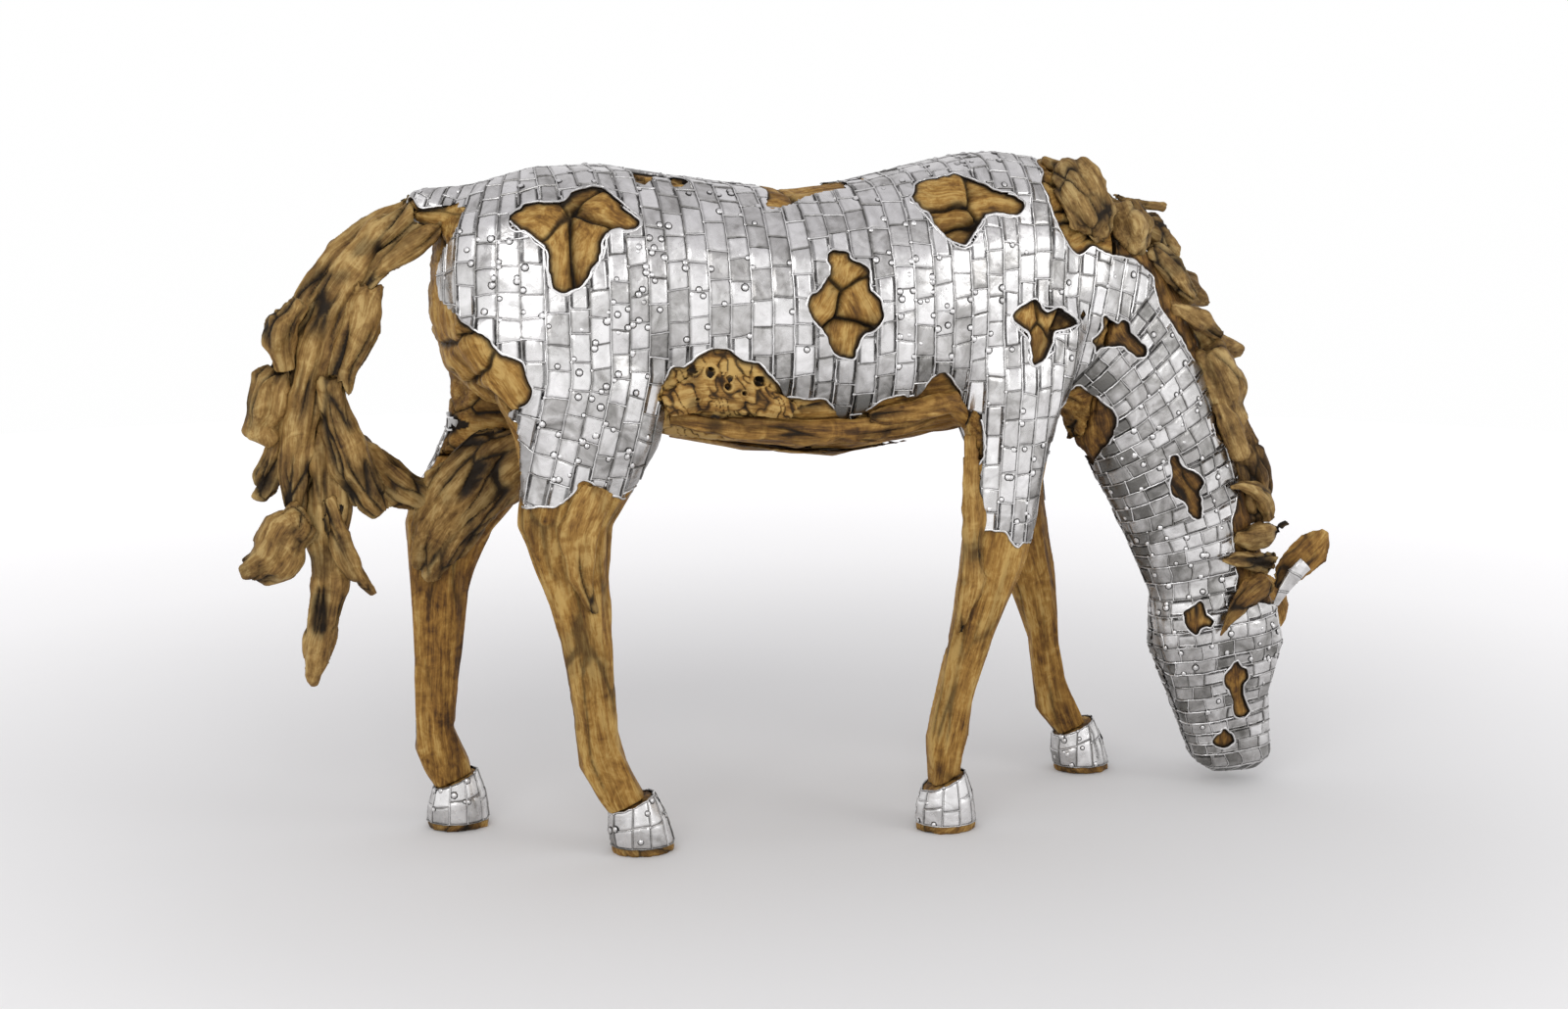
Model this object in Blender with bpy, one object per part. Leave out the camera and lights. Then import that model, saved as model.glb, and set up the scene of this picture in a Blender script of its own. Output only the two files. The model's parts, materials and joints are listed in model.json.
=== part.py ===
"""A grazing horse built of driftwood and clad with thin metal plate.

Metres, +Z up, the horse faces +X and its left side is +Y. The floor is z = 0 under the hooves, and the
finished figure is centred on its bounding box in X and Y.
"""

import math
import random

import bmesh
import bpy
from mathutils import Vector

# Sizes that can be set by themselves
WITHERS_HEIGHT = 1.66
METAL = 0.003
FIT = 0.0003
SOLE = 0.018
HOOF_LENGTH = 0.156
HOOF_WIDTH = 0.134
HOOF_FRONT_HEIGHT = 0.145
HOOF_HEEL_HEIGHT = 0.100
PASTERN_LENGTH = 0.112
PASTERN_WIDTH = 0.104
EAR_THICKNESS = 0.022

# The figure's tables are drawn at this height, and every length in them grows with WITHERS_HEIGHT
DRAWN_HEIGHT = 1.66
K = WITHERS_HEIGHT / DRAWN_HEIGHT

# Fineness of the faceted surface
RING_SIDES = 28
BLEND_VOXEL = 0.013
BLEND_PASSES = 5
BLEND_ROUNDS = 10
FORM_TRIANGLES = 900
ROOT_SIDES = 6
HOOF_SIDES = 12
HOOF_STEPS = 2

# Turns of the smoothing, outward and inward, so that the form keeps its size
SMOOTHING = (0.5, -0.51)
# How square the sections are: 2 is an ellipse
BODY_SQUARENESS = 2.2
HEAD_SQUARENESS = 2.8
# A leg's last stretch runs on into the hoof by this share of its length
LEG_RUN_ON = 1.2
# A vertex on a sharp edge moves out by no more than this many times the distance
SHELL_LIMIT = 1.6
# A root's section: its points lie between these shares of the radius, each turned by up to this share of a step
LUMP_LEAST = 0.86
LUMP_MOST = 1.12
LUMP_TURN = 0.3
SHARP_ANGLE = math.radians(40)

# After a cut, edges shorter than the first of these lengths that leaves the body closed are closed up, and
# faces that bend less than the angle are joined
CRUMBS = (0.0001, 0.00005, 0.00002, 0.0)
FLAT_ANGLE = math.radians(0.1)

# Halves of the figure overlap by this much where a cutter stops at the middle plane
MIDDLE_LAP = 0.01
# Reach of a cutter past the body sideways, and along or up from where it starts
SIDE_REACH = 0.6
LONG_REACH = 2.0
HOOF_REACH = 0.4
# How far the legs' blocks go down, past the floor
LEG_BLOCK_BOTTOM = -0.2
# The depth to which the inner sides of the legs are bare, and where the saddle opening ends on the left
INNER_LEG = 0.165
SADDLE_REACH = 0.11

# The body's lofts are rungs seen from the side: one outline point, the outline point across from it, then
# the rung's sideways centre and half-width. All in metres at DRAWN_HEIGHT.
TORSO = (
    (-0.850, 1.440, -0.860, 1.270, 0.0, 0.070),
    (-0.815, 1.548, -0.825, 1.150, 0.0, 0.180),
    (-0.740, 1.592, -0.740, 1.080, 0.0, 0.240),
    (-0.620, 1.624, -0.620, 1.030, 0.0, 0.272),
    (-0.480, 1.634, -0.470, 1.000, 0.0, 0.280),
    (-0.340, 1.617, -0.330, 0.990, 0.0, 0.262),
    (-0.180, 1.594, -0.175, 0.965, 0.0, 0.264),
    (0.000, 1.578, 0.000, 0.935, 0.0, 0.277),
    (0.150, 1.592, 0.140, 0.927, 0.0, 0.280),
    (0.300, 1.624, 0.290, 0.943, 0.0, 0.268),
    (0.430, 1.655, 0.420, 0.965, 0.0, 0.246),
    (0.540, 1.664, 0.530, 0.985, 0.0, 0.222),
    (0.640, 1.648, 0.640, 1.000, 0.0, 0.198),
    (0.730, 1.590, 0.720, 1.040, 0.0, 0.160),
    (0.800, 1.480, 0.780, 1.120, 0.0, 0.100),
)
NECK = (
    (0.600, 1.640, 0.600, 1.020, 0.0, 0.190),
    (0.800, 1.570, 0.715, 1.010, 0.0, 0.165),
    (0.930, 1.460, 0.745, 0.960, 0.0, 0.142),
    (1.040, 1.310, 0.800, 0.880, 0.0, 0.124),
    (1.115, 1.150, 0.855, 0.785, 0.0, 0.111),
    (1.175, 0.990, 0.910, 0.695, 0.0, 0.101),
    (1.225, 0.840, 0.955, 0.610, 0.0, 0.095),
    (1.265, 0.710, 0.988, 0.530, 0.0, 0.092),
    (1.300, 0.610, 1.000, 0.470, 0.0, 0.092),
)
HEAD = (
    (1.305, 0.640, 1.010, 0.560, 0.0, 0.075),
    (1.316, 0.560, 0.998, 0.500, 0.0, 0.092),
    (1.347, 0.480, 0.997, 0.430, 0.0, 0.105),
    (1.363, 0.400, 1.006, 0.365, 0.0, 0.104),
    (1.352, 0.320, 1.036, 0.300, 0.0, 0.093),
    (1.333, 0.250, 1.062, 0.235, 0.0, 0.082),
    (1.337, 0.180, 1.090, 0.165, 0.0, 0.073),
    (1.354, 0.110, 1.112, 0.105, 0.0, 0.070),
    (1.348, 0.060, 1.145, 0.050, 0.0, 0.062),
    (1.300, 0.030, 1.195, 0.025, 0.0, 0.040),
)
RIGHT_HIND = (
    (-0.400, 1.360, -0.800, 1.360, -0.125, 0.105),
    (-0.335, 1.250, -0.845, 1.260, -0.150, 0.128),
    (-0.330, 1.120, -0.760, 1.130, -0.165, 0.122),
    (-0.345, 1.000, -0.695, 1.010, -0.170, 0.106),
    (-0.398, 0.900, -0.684, 0.905, -0.170, 0.090),
    (-0.460, 0.800, -0.692, 0.810, -0.168, 0.074),
    (-0.468, 0.700, -0.652, 0.705, -0.166, 0.064),
    (-0.465, 0.600, -0.612, 0.600, -0.163, 0.058),
    (-0.464, 0.500, -0.588, 0.500, -0.160, 0.053),
    (-0.457, 0.400, -0.574, 0.400, -0.157, 0.050),
    (-0.450, 0.300, -0.561, 0.300, -0.154, 0.049),
    (-0.430, 0.235, -0.557, 0.215, -0.152, 0.052),
    (-0.398, 0.170, -0.520, 0.145, -0.150, 0.050),
    (-0.372, 0.115, -0.478, 0.085, -0.149, 0.048),
)
LEFT_HIND = (
    (-0.400, 1.360, -0.800, 1.360, 0.125, 0.105),
    (-0.360, 1.240, -0.845, 1.250, 0.150, 0.128),
    (-0.400, 1.110, -0.800, 1.110, 0.165, 0.122),
    (-0.460, 1.000, -0.812, 1.000, 0.172, 0.106),
    (-0.530, 0.920, -0.845, 0.915, 0.175, 0.092),
    (-0.590, 0.850, -0.895, 0.840, 0.176, 0.080),
    (-0.655, 0.780, -0.918, 0.770, 0.176, 0.070),
    (-0.725, 0.700, -0.908, 0.695, 0.175, 0.062),
    (-0.752, 0.600, -0.902, 0.600, 0.174, 0.058),
    (-0.762, 0.500, -0.901, 0.500, 0.173, 0.055),
    (-0.775, 0.400, -0.900, 0.400, 0.172, 0.052),
    (-0.790, 0.300, -0.902, 0.300, 0.171, 0.050),
    (-0.785, 0.220, -0.908, 0.205, 0.170, 0.052),
    (-0.755, 0.160, -0.880, 0.140, 0.169, 0.050),
    (-0.748, 0.110, -0.850, 0.090, 0.169, 0.048),
)
RIGHT_FORE = (
    (0.700, 1.340, 0.380, 1.360, -0.115, 0.085),
    (0.730, 1.240, 0.385, 1.250, -0.140, 0.100),
    (0.698, 1.130, 0.395, 1.120, -0.160, 0.100),
    (0.640, 1.000, 0.402, 1.000, -0.172, 0.088),
    (0.612, 0.880, 0.405, 0.880, -0.178, 0.076),
    (0.592, 0.770, 0.402, 0.770, -0.180, 0.068),
    (0.568, 0.670, 0.390, 0.670, -0.181, 0.064),
    (0.528, 0.570, 0.380, 0.570, -0.181, 0.060),
    (0.485, 0.475, 0.366, 0.475, -0.181, 0.054),
    (0.453, 0.380, 0.347, 0.380, -0.181, 0.050),
    (0.432, 0.300, 0.328, 0.300, -0.181, 0.048),
    (0.428, 0.235, 0.308, 0.240, -0.181, 0.052),
    (0.406, 0.170, 0.315, 0.165, -0.181, 0.048),
    (0.400, 0.100, 0.318, 0.090, -0.181, 0.046),
)
LEFT_FORE = (
    (0.710, 1.340, 0.400, 1.360, 0.115, 0.085),
    (0.740, 1.230, 0.420, 1.240, 0.140, 0.100),
    (0.730, 1.110, 0.465, 1.100, 0.160, 0.100),
    (0.735, 0.980, 0.520, 0.970, 0.175, 0.086),
    (0.755, 0.860, 0.570, 0.850, 0.185, 0.074),
    (0.772, 0.750, 0.602, 0.740, 0.190, 0.066),
    (0.795, 0.650, 0.630, 0.640, 0.194, 0.060),
    (0.812, 0.550, 0.675, 0.540, 0.198, 0.055),
    (0.822, 0.450, 0.715, 0.440, 0.201, 0.050),
    (0.832, 0.350, 0.742, 0.340, 0.204, 0.046),
    (0.852, 0.270, 0.752, 0.260, 0.207, 0.047),
    (0.884, 0.200, 0.760, 0.185, 0.210, 0.050),
    (0.905, 0.145, 0.800, 0.120, 0.213, 0.048),
    (0.930, 0.100, 0.835, 0.080, 0.215, 0.046),
)
DOCK = (
    (-0.760, 1.588, -0.760, 1.440, 0.0, 0.070),
    (-0.830, 1.583, -0.825, 1.470, 0.0, 0.056),
    (-0.910, 1.566, -0.890, 1.480, 0.0, 0.042),
)

# Edges of the metal, seen from the right side: (x, z) at DRAWN_HEIGHT. Each area inside is bare wood.
HIP = (
    (-0.698, 1.507), (-0.658, 1.541), (-0.595, 1.548), (-0.557, 1.569), (-0.493, 1.586), (-0.433, 1.534),
    (-0.401, 1.503), (-0.412, 1.488), (-0.489, 1.481), (-0.498, 1.438), (-0.546, 1.362), (-0.586, 1.346),
    (-0.618, 1.363), (-0.622, 1.447), (-0.676, 1.486),
)
CROUP = ((-0.393, 1.640), (-0.301, 1.640), (-0.301, 1.598), (-0.362, 1.594), (-0.393, 1.605))
SADDLE = (
    (-0.078, 1.553), (-0.060, 1.640), (0.147, 1.640), (0.147, 1.587), (0.130, 1.570), (0.062, 1.559),
    (0.016, 1.546), (-0.035, 1.526), (-0.065, 1.537),
)
WITHERS = (
    (0.264, 1.556), (0.300, 1.590), (0.389, 1.611), (0.472, 1.576), (0.533, 1.562), (0.554, 1.534),
    (0.531, 1.509), (0.474, 1.516), (0.431, 1.499), (0.376, 1.438), (0.335, 1.450), (0.298, 1.509),
    (0.271, 1.531),
)
BARREL = (
    (-0.021, 1.320), (0.018, 1.360), (0.040, 1.390), (0.033, 1.424), (0.061, 1.437), (0.093, 1.410),
    (0.125, 1.394), (0.131, 1.351), (0.163, 1.283), (0.141, 1.252), (0.097, 1.204), (0.091, 1.181),
    (0.045, 1.192), (0.027, 1.233),
)
SHOULDER = (
    (0.501, 1.273), (0.522, 1.291), (0.566, 1.311), (0.589, 1.287), (0.643, 1.288), (0.688, 1.248),
    (0.615, 1.229), (0.579, 1.165), (0.551, 1.154), (0.545, 1.221), (0.511, 1.254),
)
NECK_BASE = (
    (0.741, 1.203), (0.772, 1.219), (0.766, 1.256), (0.833, 1.251), (0.858, 1.213), (0.900, 1.180),
    (0.899, 1.153), (0.801, 1.184), (0.762, 1.170),
)
NECK_MIDDLE = (
    (0.990, 0.900), (1.009, 0.899), (1.028, 0.865), (1.084, 0.842), (1.066, 0.797), (1.091, 0.758),
    (1.073, 0.730), (1.048, 0.744), (1.030, 0.778), (1.001, 0.802),
)
CHEEK = (
    (1.054, 0.461), (1.054, 0.489), (1.095, 0.510), (1.130, 0.461), (1.094, 0.436), (1.078, 0.425),
)
FACE = (
    (1.170, 0.311), (1.174, 0.335), (1.200, 0.352), (1.237, 0.325), (1.225, 0.272), (1.255, 0.208),
    (1.238, 0.188), (1.211, 0.193), (1.195, 0.260), (1.176, 0.286),
)
NOSTRIL = ((1.154, 0.127), (1.180, 0.165), (1.216, 0.133), (1.190, 0.110), (1.165, 0.116))
RIGHT_SPOTS = (HIP, CROUP, WITHERS, BARREL, SHOULDER, NECK_BASE, NECK_MIDDLE, CHEEK, FACE, NOSTRIL)
# The left side is plainer: the spot's outline and how far it is shifted along x and z
LEFT_SPOTS = (
    (HIP, 0.06, -0.03), (BARREL, -0.14, 0.02), (SHOULDER, -0.02, 0.04), (NECK_MIDDLE, -0.03, 0.10),
)

# Below this edge the right half is bare: the belly, the right hind leg from the hock down and the right foreleg
# from above the knee down
RIGHT_UNDERSIDE = (
    (-0.677, 0.856), (-0.609, 0.857), (-0.565, 0.893), (-0.564, 0.923), (-0.539, 0.922), (-0.484, 0.874),
    (-0.447, 0.864), (-0.418, 0.895), (-0.360, 0.970), (-0.349, 1.043), (-0.352, 1.077), (-0.367, 1.125),
    (-0.338, 1.169), (-0.304, 1.173), (-0.253, 1.214), (-0.217, 1.213), (-0.183, 1.189), (-0.130, 1.172),
    (-0.063, 1.098), (-0.024, 1.080), (0.038, 1.088), (0.055, 1.058), (0.138, 1.051), (0.178, 1.081),
    (0.268, 1.091), (0.298, 1.129), (0.328, 1.142), (0.348, 1.132), (0.399, 1.051), (0.431, 1.013),
    (0.436, 0.964), (0.432, 0.923), (0.413, 0.911), (0.413, 0.768), (0.432, 0.746), (0.490, 0.755),
    (0.501, 0.730), (0.519, 0.709), (0.544, 0.714), (0.800, 0.720), (0.800, -0.200), (-1.200, -0.200),
    (-1.200, 0.856),
)
LEFT_UNDERSIDE = (
    (-0.900, 0.860), (-0.780, 0.850), (-0.700, 0.900), (-0.600, 0.870), (-0.520, 0.960), (-0.450, 1.060),
    (-0.380, 1.150), (-0.280, 1.190), (-0.180, 1.150), (-0.060, 1.090), (0.080, 1.060), (0.220, 1.090),
    (0.340, 1.110), (0.430, 1.050), (0.520, 0.950), (0.590, 0.800), (0.680, 0.740), (0.720, 0.760),
    (0.860, 0.740), (0.950, 0.500), (0.950, -0.200), (-1.200, -0.200), (-1.200, 0.860),
)
# Behind this edge the right buttock is bare, up to the metal over the dock
RIGHT_REAR = (
    (-0.771, 1.543), (-0.785, 1.515), (-0.831, 1.435), (-0.844, 1.382), (-0.842, 1.336), (-0.793, 1.268),
    (-0.758, 1.249), (-0.733, 1.216), (-0.685, 1.190), (-0.666, 1.145), (-0.668, 1.105), (-0.684, 1.091),
    (-0.677, 0.840), (-1.200, 0.840), (-1.200, 1.561), (-0.899, 1.561), (-0.872, 1.527), (-0.821, 1.540),
)
LEFT_REAR = ((-0.720, 0.960), (-0.740, 1.300), (-0.790, 1.500), (-1.200, 1.500), (-1.200, 0.960))
LEFT_REAR_WIDTH = 0.12
# Higher up the left buttock is bare further round
LEFT_BUTTOCK = ((-0.730, 1.030), (-0.705, 1.140), (-0.730, 1.300), (-0.790, 1.500), (-1.200, 1.500),
                (-1.200, 1.030))
LEFT_BUTTOCK_WIDTH = 0.40
# The strip under the mane, and the bare throat patch, on both sides
MANE_STRIP = (
    (0.638, 1.646), (0.613, 1.578), (0.638, 1.493), (0.671, 1.434), (0.699, 1.412), (0.747, 1.435),
    (0.784, 1.410), (0.873, 1.401), (0.933, 1.358), (0.941, 1.288), (1.036, 1.166), (1.115, 1.088),
    (1.116, 1.019), (1.129, 0.939), (1.198, 0.892), (1.221, 0.817), (1.186, 0.710), (1.187, 0.634),
    (1.203, 0.573), (1.196, 0.531), (1.232, 0.503), (1.319, 0.487), (1.600, 0.487), (1.600, 1.800),
    (0.620, 1.800),
)
THROAT = (
    (0.726, 1.089), (0.779, 1.057), (0.816, 1.026), (0.841, 0.995), (0.835, 0.951), (0.806, 0.877),
    (0.700, 0.870), (0.640, 0.987),
)
# The space between the legs, up to the underside of the neck: it bares the inner sides of the legs
BETWEEN_LEGS = (
    (-1.200, 0.000), (0.940, 0.000), (0.940, 0.530), (0.890, 0.640), (0.840, 0.740), (0.790, 0.820),
    (0.740, 0.900), (0.700, 1.000), (-1.200, 1.000),
)

# Where the body's wood is joined: the upper and lower point of each plane, seen from the side
NECK_JOINT = ((0.830, 1.700), (0.775, 0.900))
POLL_JOINT = ((1.420, 0.690), (0.900, 0.480))
# Each leg log: the front and rear of its top joint, and the side it is on (-1 right, +1 left)
LEGS = {
    "right_hind": ((-0.300, 0.960), (-0.780, 0.930), -1),
    "left_hind": ((-0.420, 0.940), (-0.980, 0.930), 1),
    "right_fore": ((0.760, 0.925), (0.280, 0.925), -1),
    "left_fore": ((0.900, 0.925), (0.440, 0.925), 1),
}
# Each hoof: x of its sole and of its top, and its sideways place
HOOVES = {
    "right_hind": (-0.396, -0.424, -0.149),
    "left_hind": (-0.797, -0.803, 0.169),
    "right_fore": (0.367, 0.359, -0.181),
    "left_fore": (0.903, 0.876, 0.214),
}

# Roots: a path of points (x, y, z), the radius at each, and how much flatter the root is sideways
TAIL = {
    "tail_root_1": (((-0.845, -0.01, 1.535), (-0.96, -0.01, 1.465), (-1.05, 0.0, 1.36), (-1.12, 0.0, 1.22),
                     (-1.15, 0.0, 1.08), (-1.17, 0.0, 0.93), (-1.18, 0.0, 0.82)),
                    (0.036, 0.052, 0.054, 0.056, 0.052, 0.045, 0.026), 0.8),
    "tail_root_2": (((-0.880, 0.03, 1.548), (-0.985, 0.04, 1.485), (-1.08, 0.04, 1.39), (-1.15, 0.03, 1.285),
                     (-1.20, 0.02, 1.18)), (0.016, 0.034, 0.040, 0.038, 0.022), 0.9),
    "tail_root_3": (((-0.80, -0.035, 1.500), (-0.88, -0.04, 1.455), (-0.96, -0.04, 1.41), (-1.02, -0.03, 1.34)),
                    (0.020, 0.032, 0.032, 0.016), 0.9),
    "tail_root_4": (((-1.150, -0.030, 1.324), (-1.191, -0.030, 1.279), (-1.200, -0.020, 1.231),
                     (-1.186, -0.010, 1.168)), (0.025, 0.041, 0.041, 0.028), 0.9),
    "tail_root_5": (((-1.177, 0.020, 1.154), (-1.221, 0.010, 1.131), (-1.231, 0.010, 1.076),
                     (-1.257, 0.010, 1.029), (-1.222, 0.000, 0.999)), (0.044, 0.054, 0.056, 0.037, 0.022), 0.9),
    "tail_root_6": (((-1.190, 0.030, 1.006), (-1.219, 0.030, 0.943), (-1.238, 0.030, 0.896),
                     (-1.256, 0.020, 0.864)), (0.038, 0.038, 0.034, 0.019), 0.9),
    "tail_root_7": (((-1.109, 0.010, 1.116), (-1.113, 0.020, 0.997), (-1.109, 0.020, 0.899),
                     (-1.106, 0.020, 0.801), (-1.105, 0.020, 0.695), (-1.114, 0.020, 0.597),
                     (-1.130, 0.020, 0.521), (-1.144, 0.020, 0.464), (-1.147, 0.020, 0.422)),
                    (0.032, 0.056, 0.059, 0.054, 0.048, 0.044, 0.038, 0.021, 0.005), 0.8),
    "tail_root_8": (((-1.155, -0.020, 0.825), (-1.201, -0.030, 0.795), (-1.229, -0.030, 0.737),
                     (-1.268, -0.030, 0.713), (-1.298, -0.020, 0.707)),
                    (0.045, 0.067, 0.065, 0.050, 0.034), 0.8),
    "tail_root_9": (((-1.088, -0.020, 1.148), (-1.079, -0.030, 1.046), (-1.047, -0.030, 0.949),
                     (-1.010, -0.030, 0.876), (-0.984, -0.030, 0.826)),
                    (0.037, 0.048, 0.059, 0.051, 0.025), 0.8),
    "tail_root_10": (((-1.065, 0.020, 1.015), (-0.989, 0.050, 0.937), (-0.930, 0.070, 0.877),
                      (-0.872, 0.090, 0.845)), (0.034, 0.043, 0.051, 0.041), 0.9),
    "tail_root_11": (((-1.105, -0.01, 0.87), (-1.080, -0.02, 0.76), (-1.045, -0.02, 0.685), (-1.005, -0.02, 0.635)),
                     (0.028, 0.032, 0.026, 0.008), 0.9),
    "tail_root_12": (((-0.992, -0.030, 1.366), (-1.019, -0.030, 1.264), (-1.055, -0.030, 1.178),
                      (-1.079, -0.020, 1.104)), (0.035, 0.048, 0.037, 0.032), 0.8),
}
LEG_PIECES = {
    "right_hock_piece": (((-0.505, -0.250, 0.905), (-0.565, -0.247, 0.80), (-0.555, -0.237, 0.70),
                          (-0.520, -0.222, 0.60)), (0.045, 0.060, 0.040, 0.010), 0.40),
    "left_hind_root": (((-0.594, 0.080, 1.015), (-0.684, 0.085, 0.923), (-0.779, 0.090, 0.833),
                        (-0.839, 0.095, 0.746), (-0.855, 0.100, 0.675), (-0.854, 0.105, 0.635)),
                       (0.066, 0.099, 0.110, 0.082, 0.051, 0.021), 0.5),
    "right_knee_plank": (((0.418, -0.205, 0.985), (0.412, -0.222, 0.800), (0.410, -0.232, 0.640),
                          (0.380, -0.228, 0.500)), (0.024, 0.036, 0.036, 0.012), 0.60),
}
BELLY = {
    "belly_knot": (((-0.345, -0.215, 1.080), (-0.250, -0.225, 1.130), (-0.140, -0.235, 1.110),
                    (-0.040, -0.225, 1.055)), (0.034, 0.060, 0.052, 0.022), 0.55),
    "belly_middle": (((-0.330, -0.175, 1.045), (-0.180, -0.195, 1.022), (0.000, -0.205, 1.008),
                      (0.180, -0.205, 1.008), (0.330, -0.190, 1.030)), (0.018, 0.034, 0.040, 0.034, 0.016), 0.75),
    "belly_fore": (((0.140, -0.225, 1.040), (0.260, -0.225, 1.050), (0.360, -0.205, 1.065),
                    (0.420, -0.180, 1.010)), (0.020, 0.034, 0.034, 0.020), 0.60),
    "belly_keel": (((-0.280, 0.030, 0.988), (-0.100, 0.020, 0.962), (0.120, 0.000, 0.945), (0.320, -0.010, 0.962)),
                   (0.012, 0.022, 0.024, 0.012), 3.2),
}
MANE = {
    "mane_chunk_1": (((0.715, -0.070, 1.625), (0.715, -0.105, 1.570), (0.745, -0.125, 1.490),
                      (0.760, -0.125, 1.430)), (0.050, 0.086, 0.084, 0.032), 0.70),
    "mane_chunk_2": (((0.660, 0.0, 1.636), (0.765, 0.0, 1.592), (0.862, 0.0, 1.522)), (0.014, 0.028, 0.022), 2.2),
    "mane_chunk_3": (((0.875, -0.060, 1.530), (0.880, -0.090, 1.470), (0.885, -0.095, 1.400)),
                     (0.050, 0.078, 0.032), 0.70),
    "mane_chunk_4": (((0.845, -0.015, 1.535), (0.925, -0.015, 1.534), (0.995, -0.02, 1.522)),
                     (0.024, 0.019, 0.010), 1.0),
    "mane_chunk_5": (((0.922, 0.0, 1.480), (0.982, 0.0, 1.448), (1.045, 0.0, 1.412)), (0.038, 0.046, 0.020), 1.0),
    "mane_chunk_6": (((0.930, -0.060, 1.415), (1.000, -0.065, 1.360), (1.065, -0.055, 1.300)),
                     (0.030, 0.048, 0.022), 0.8),
    "mane_chunk_7": (((1.018, 0.0, 1.348), (1.075, 0.0, 1.308), (1.140, 0.0, 1.270)), (0.036, 0.042, 0.014), 1.1),
    "mane_chunk_8": (((0.975, -0.075, 1.275), (1.065, -0.070, 1.240), (1.155, -0.050, 1.190)),
                     (0.022, 0.038, 0.020), 0.8),
    "mane_chunk_9": (((1.090, -0.02, 1.225), (1.150, -0.02, 1.154), (1.228, -0.01, 1.152)),
                     (0.034, 0.042, 0.012), 1.0),
    "mane_chunk_10": (((1.110, -0.060, 1.165), (1.165, -0.050, 1.065), (1.212, -0.035, 0.975)),
                      (0.040, 0.056, 0.036), 0.8),
    "mane_chunk_11": (((1.140, -0.070, 1.025), (1.172, -0.070, 0.960), (1.210, -0.060, 0.885)),
                      (0.022, 0.036, 0.020), 0.8),
    "mane_chunk_12": (((1.205, -0.01, 0.965), (1.248, -0.01, 0.885), (1.272, -0.01, 0.800), (1.266, -0.01, 0.700)),
                      (0.036, 0.064, 0.056, 0.040), 0.9),
    "mane_chunk_13": (((1.168, -0.085, 0.808), (1.200, -0.085, 0.813), (1.244, -0.080, 0.801),
                       (1.278, -0.070, 0.771), (1.293, -0.060, 0.737), (1.302, -0.050, 0.709)),
                      (0.008, 0.018, 0.024, 0.027, 0.028, 0.022), 0.8),
    "mane_chunk_14": (((1.188, -0.080, 0.678), (1.234, -0.075, 0.679), (1.282, -0.065, 0.677),
                       (1.321, -0.050, 0.682), (1.350, -0.040, 0.693), (1.372, -0.035, 0.697)),
                      (0.020, 0.041, 0.042, 0.030, 0.011, 0.004), 0.8),
    "mane_chunk_15": (((1.140, -0.108, 0.622), (1.181, -0.105, 0.623), (1.233, -0.098, 0.613),
                       (1.277, -0.088, 0.608), (1.299, -0.080, 0.600)),
                      (0.008, 0.021, 0.028, 0.036, 0.042), 0.7),
    "forelock_horn": (((1.137, -0.118, 0.423), (1.163, -0.118, 0.463), (1.193, -0.116, 0.503),
                       (1.230, -0.108, 0.534), (1.268, -0.098, 0.543), (1.293, -0.090, 0.534)),
                      (0.005, 0.020, 0.033, 0.043, 0.042, 0.026), 0.7),
}
RIGHT_EAR = (((1.321, -0.085, 0.529), (1.337, -0.095, 0.574), (1.373, -0.102, 0.610),
              (1.409, -0.102, 0.642), (1.434, -0.100, 0.669), (1.445, -0.098, 0.685)),
             (0.020, 0.048, 0.059, 0.056, 0.036, 0.009))
LEFT_EAR = (((1.306, 0.044, 0.540), (1.345, 0.054, 0.528), (1.374, 0.066, 0.506), (1.403, 0.085, 0.472),
             (1.422, 0.105, 0.431), (1.431, 0.115, 0.398), (1.437, 0.120, 0.376)),
            (0.022, 0.026, 0.030, 0.040, 0.044, 0.034, 0.010))
EAR_FACING = (((1.299, -0.108, 0.495), (1.313, -0.122, 0.537), (1.337, -0.130, 0.577),
               (1.368, -0.132, 0.607)),
              (0.010, 0.017, 0.024, 0.023), 0.35)
EAR_FACING_SEED = 99

WOOD_COLOUR = (0.33, 0.19, 0.07, 1.0)
METAL_COLOUR = (0.62, 0.62, 0.65, 1.0)


def clear_scene():
    for obj in list(bpy.data.objects):
        bpy.data.objects.remove(obj)


def material(name, colour, roughness, metallic):
    made = bpy.data.materials.new(name)
    made.use_nodes = True
    shader = made.node_tree.nodes["Principled BSDF"]
    shader.inputs["Base Color"].default_value = colour
    shader.inputs["Roughness"].default_value = roughness
    shader.inputs["Metallic"].default_value = metallic
    return made


def show(name, mesh):
    """A scene object for a mesh."""
    obj = bpy.data.objects.new(name, mesh)
    bpy.context.scene.collection.objects.link(obj)
    return obj


def baked(obj):
    """The object's mesh with its modifiers applied. The object itself is removed."""
    graph = bpy.context.evaluated_depsgraph_get()
    mesh = bpy.data.meshes.new_from_object(obj.evaluated_get(graph))
    bpy.data.objects.remove(obj)
    return mesh


def mesh_of(bm, name):
    """A mesh made from bmesh data, which is then freed."""
    mesh = bpy.data.meshes.new(name)
    bm.to_mesh(mesh)
    bm.free()
    return mesh


def ring(rung, sides, power):
    """The closed outline round one rung of a loft, slightly squarer than an ellipse."""
    x1, z1, x2, z2, y, half_width = (K * value for value in rung)
    centre = Vector(((x1 + x2) / 2, y, (z1 + z2) / 2))
    along = Vector((x1 - x2, 0, z1 - z2)) / 2
    across = Vector((0, half_width, 0))
    points = []
    for step in range(sides):
        angle = math.tau * step / sides
        a, b = math.cos(angle), math.sin(angle)
        a = math.copysign(abs(a) ** (2 / power), a)
        b = math.copysign(abs(b) ** (2 / power), b)
        points.append(centre + along * a + across * b)
    return points


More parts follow.
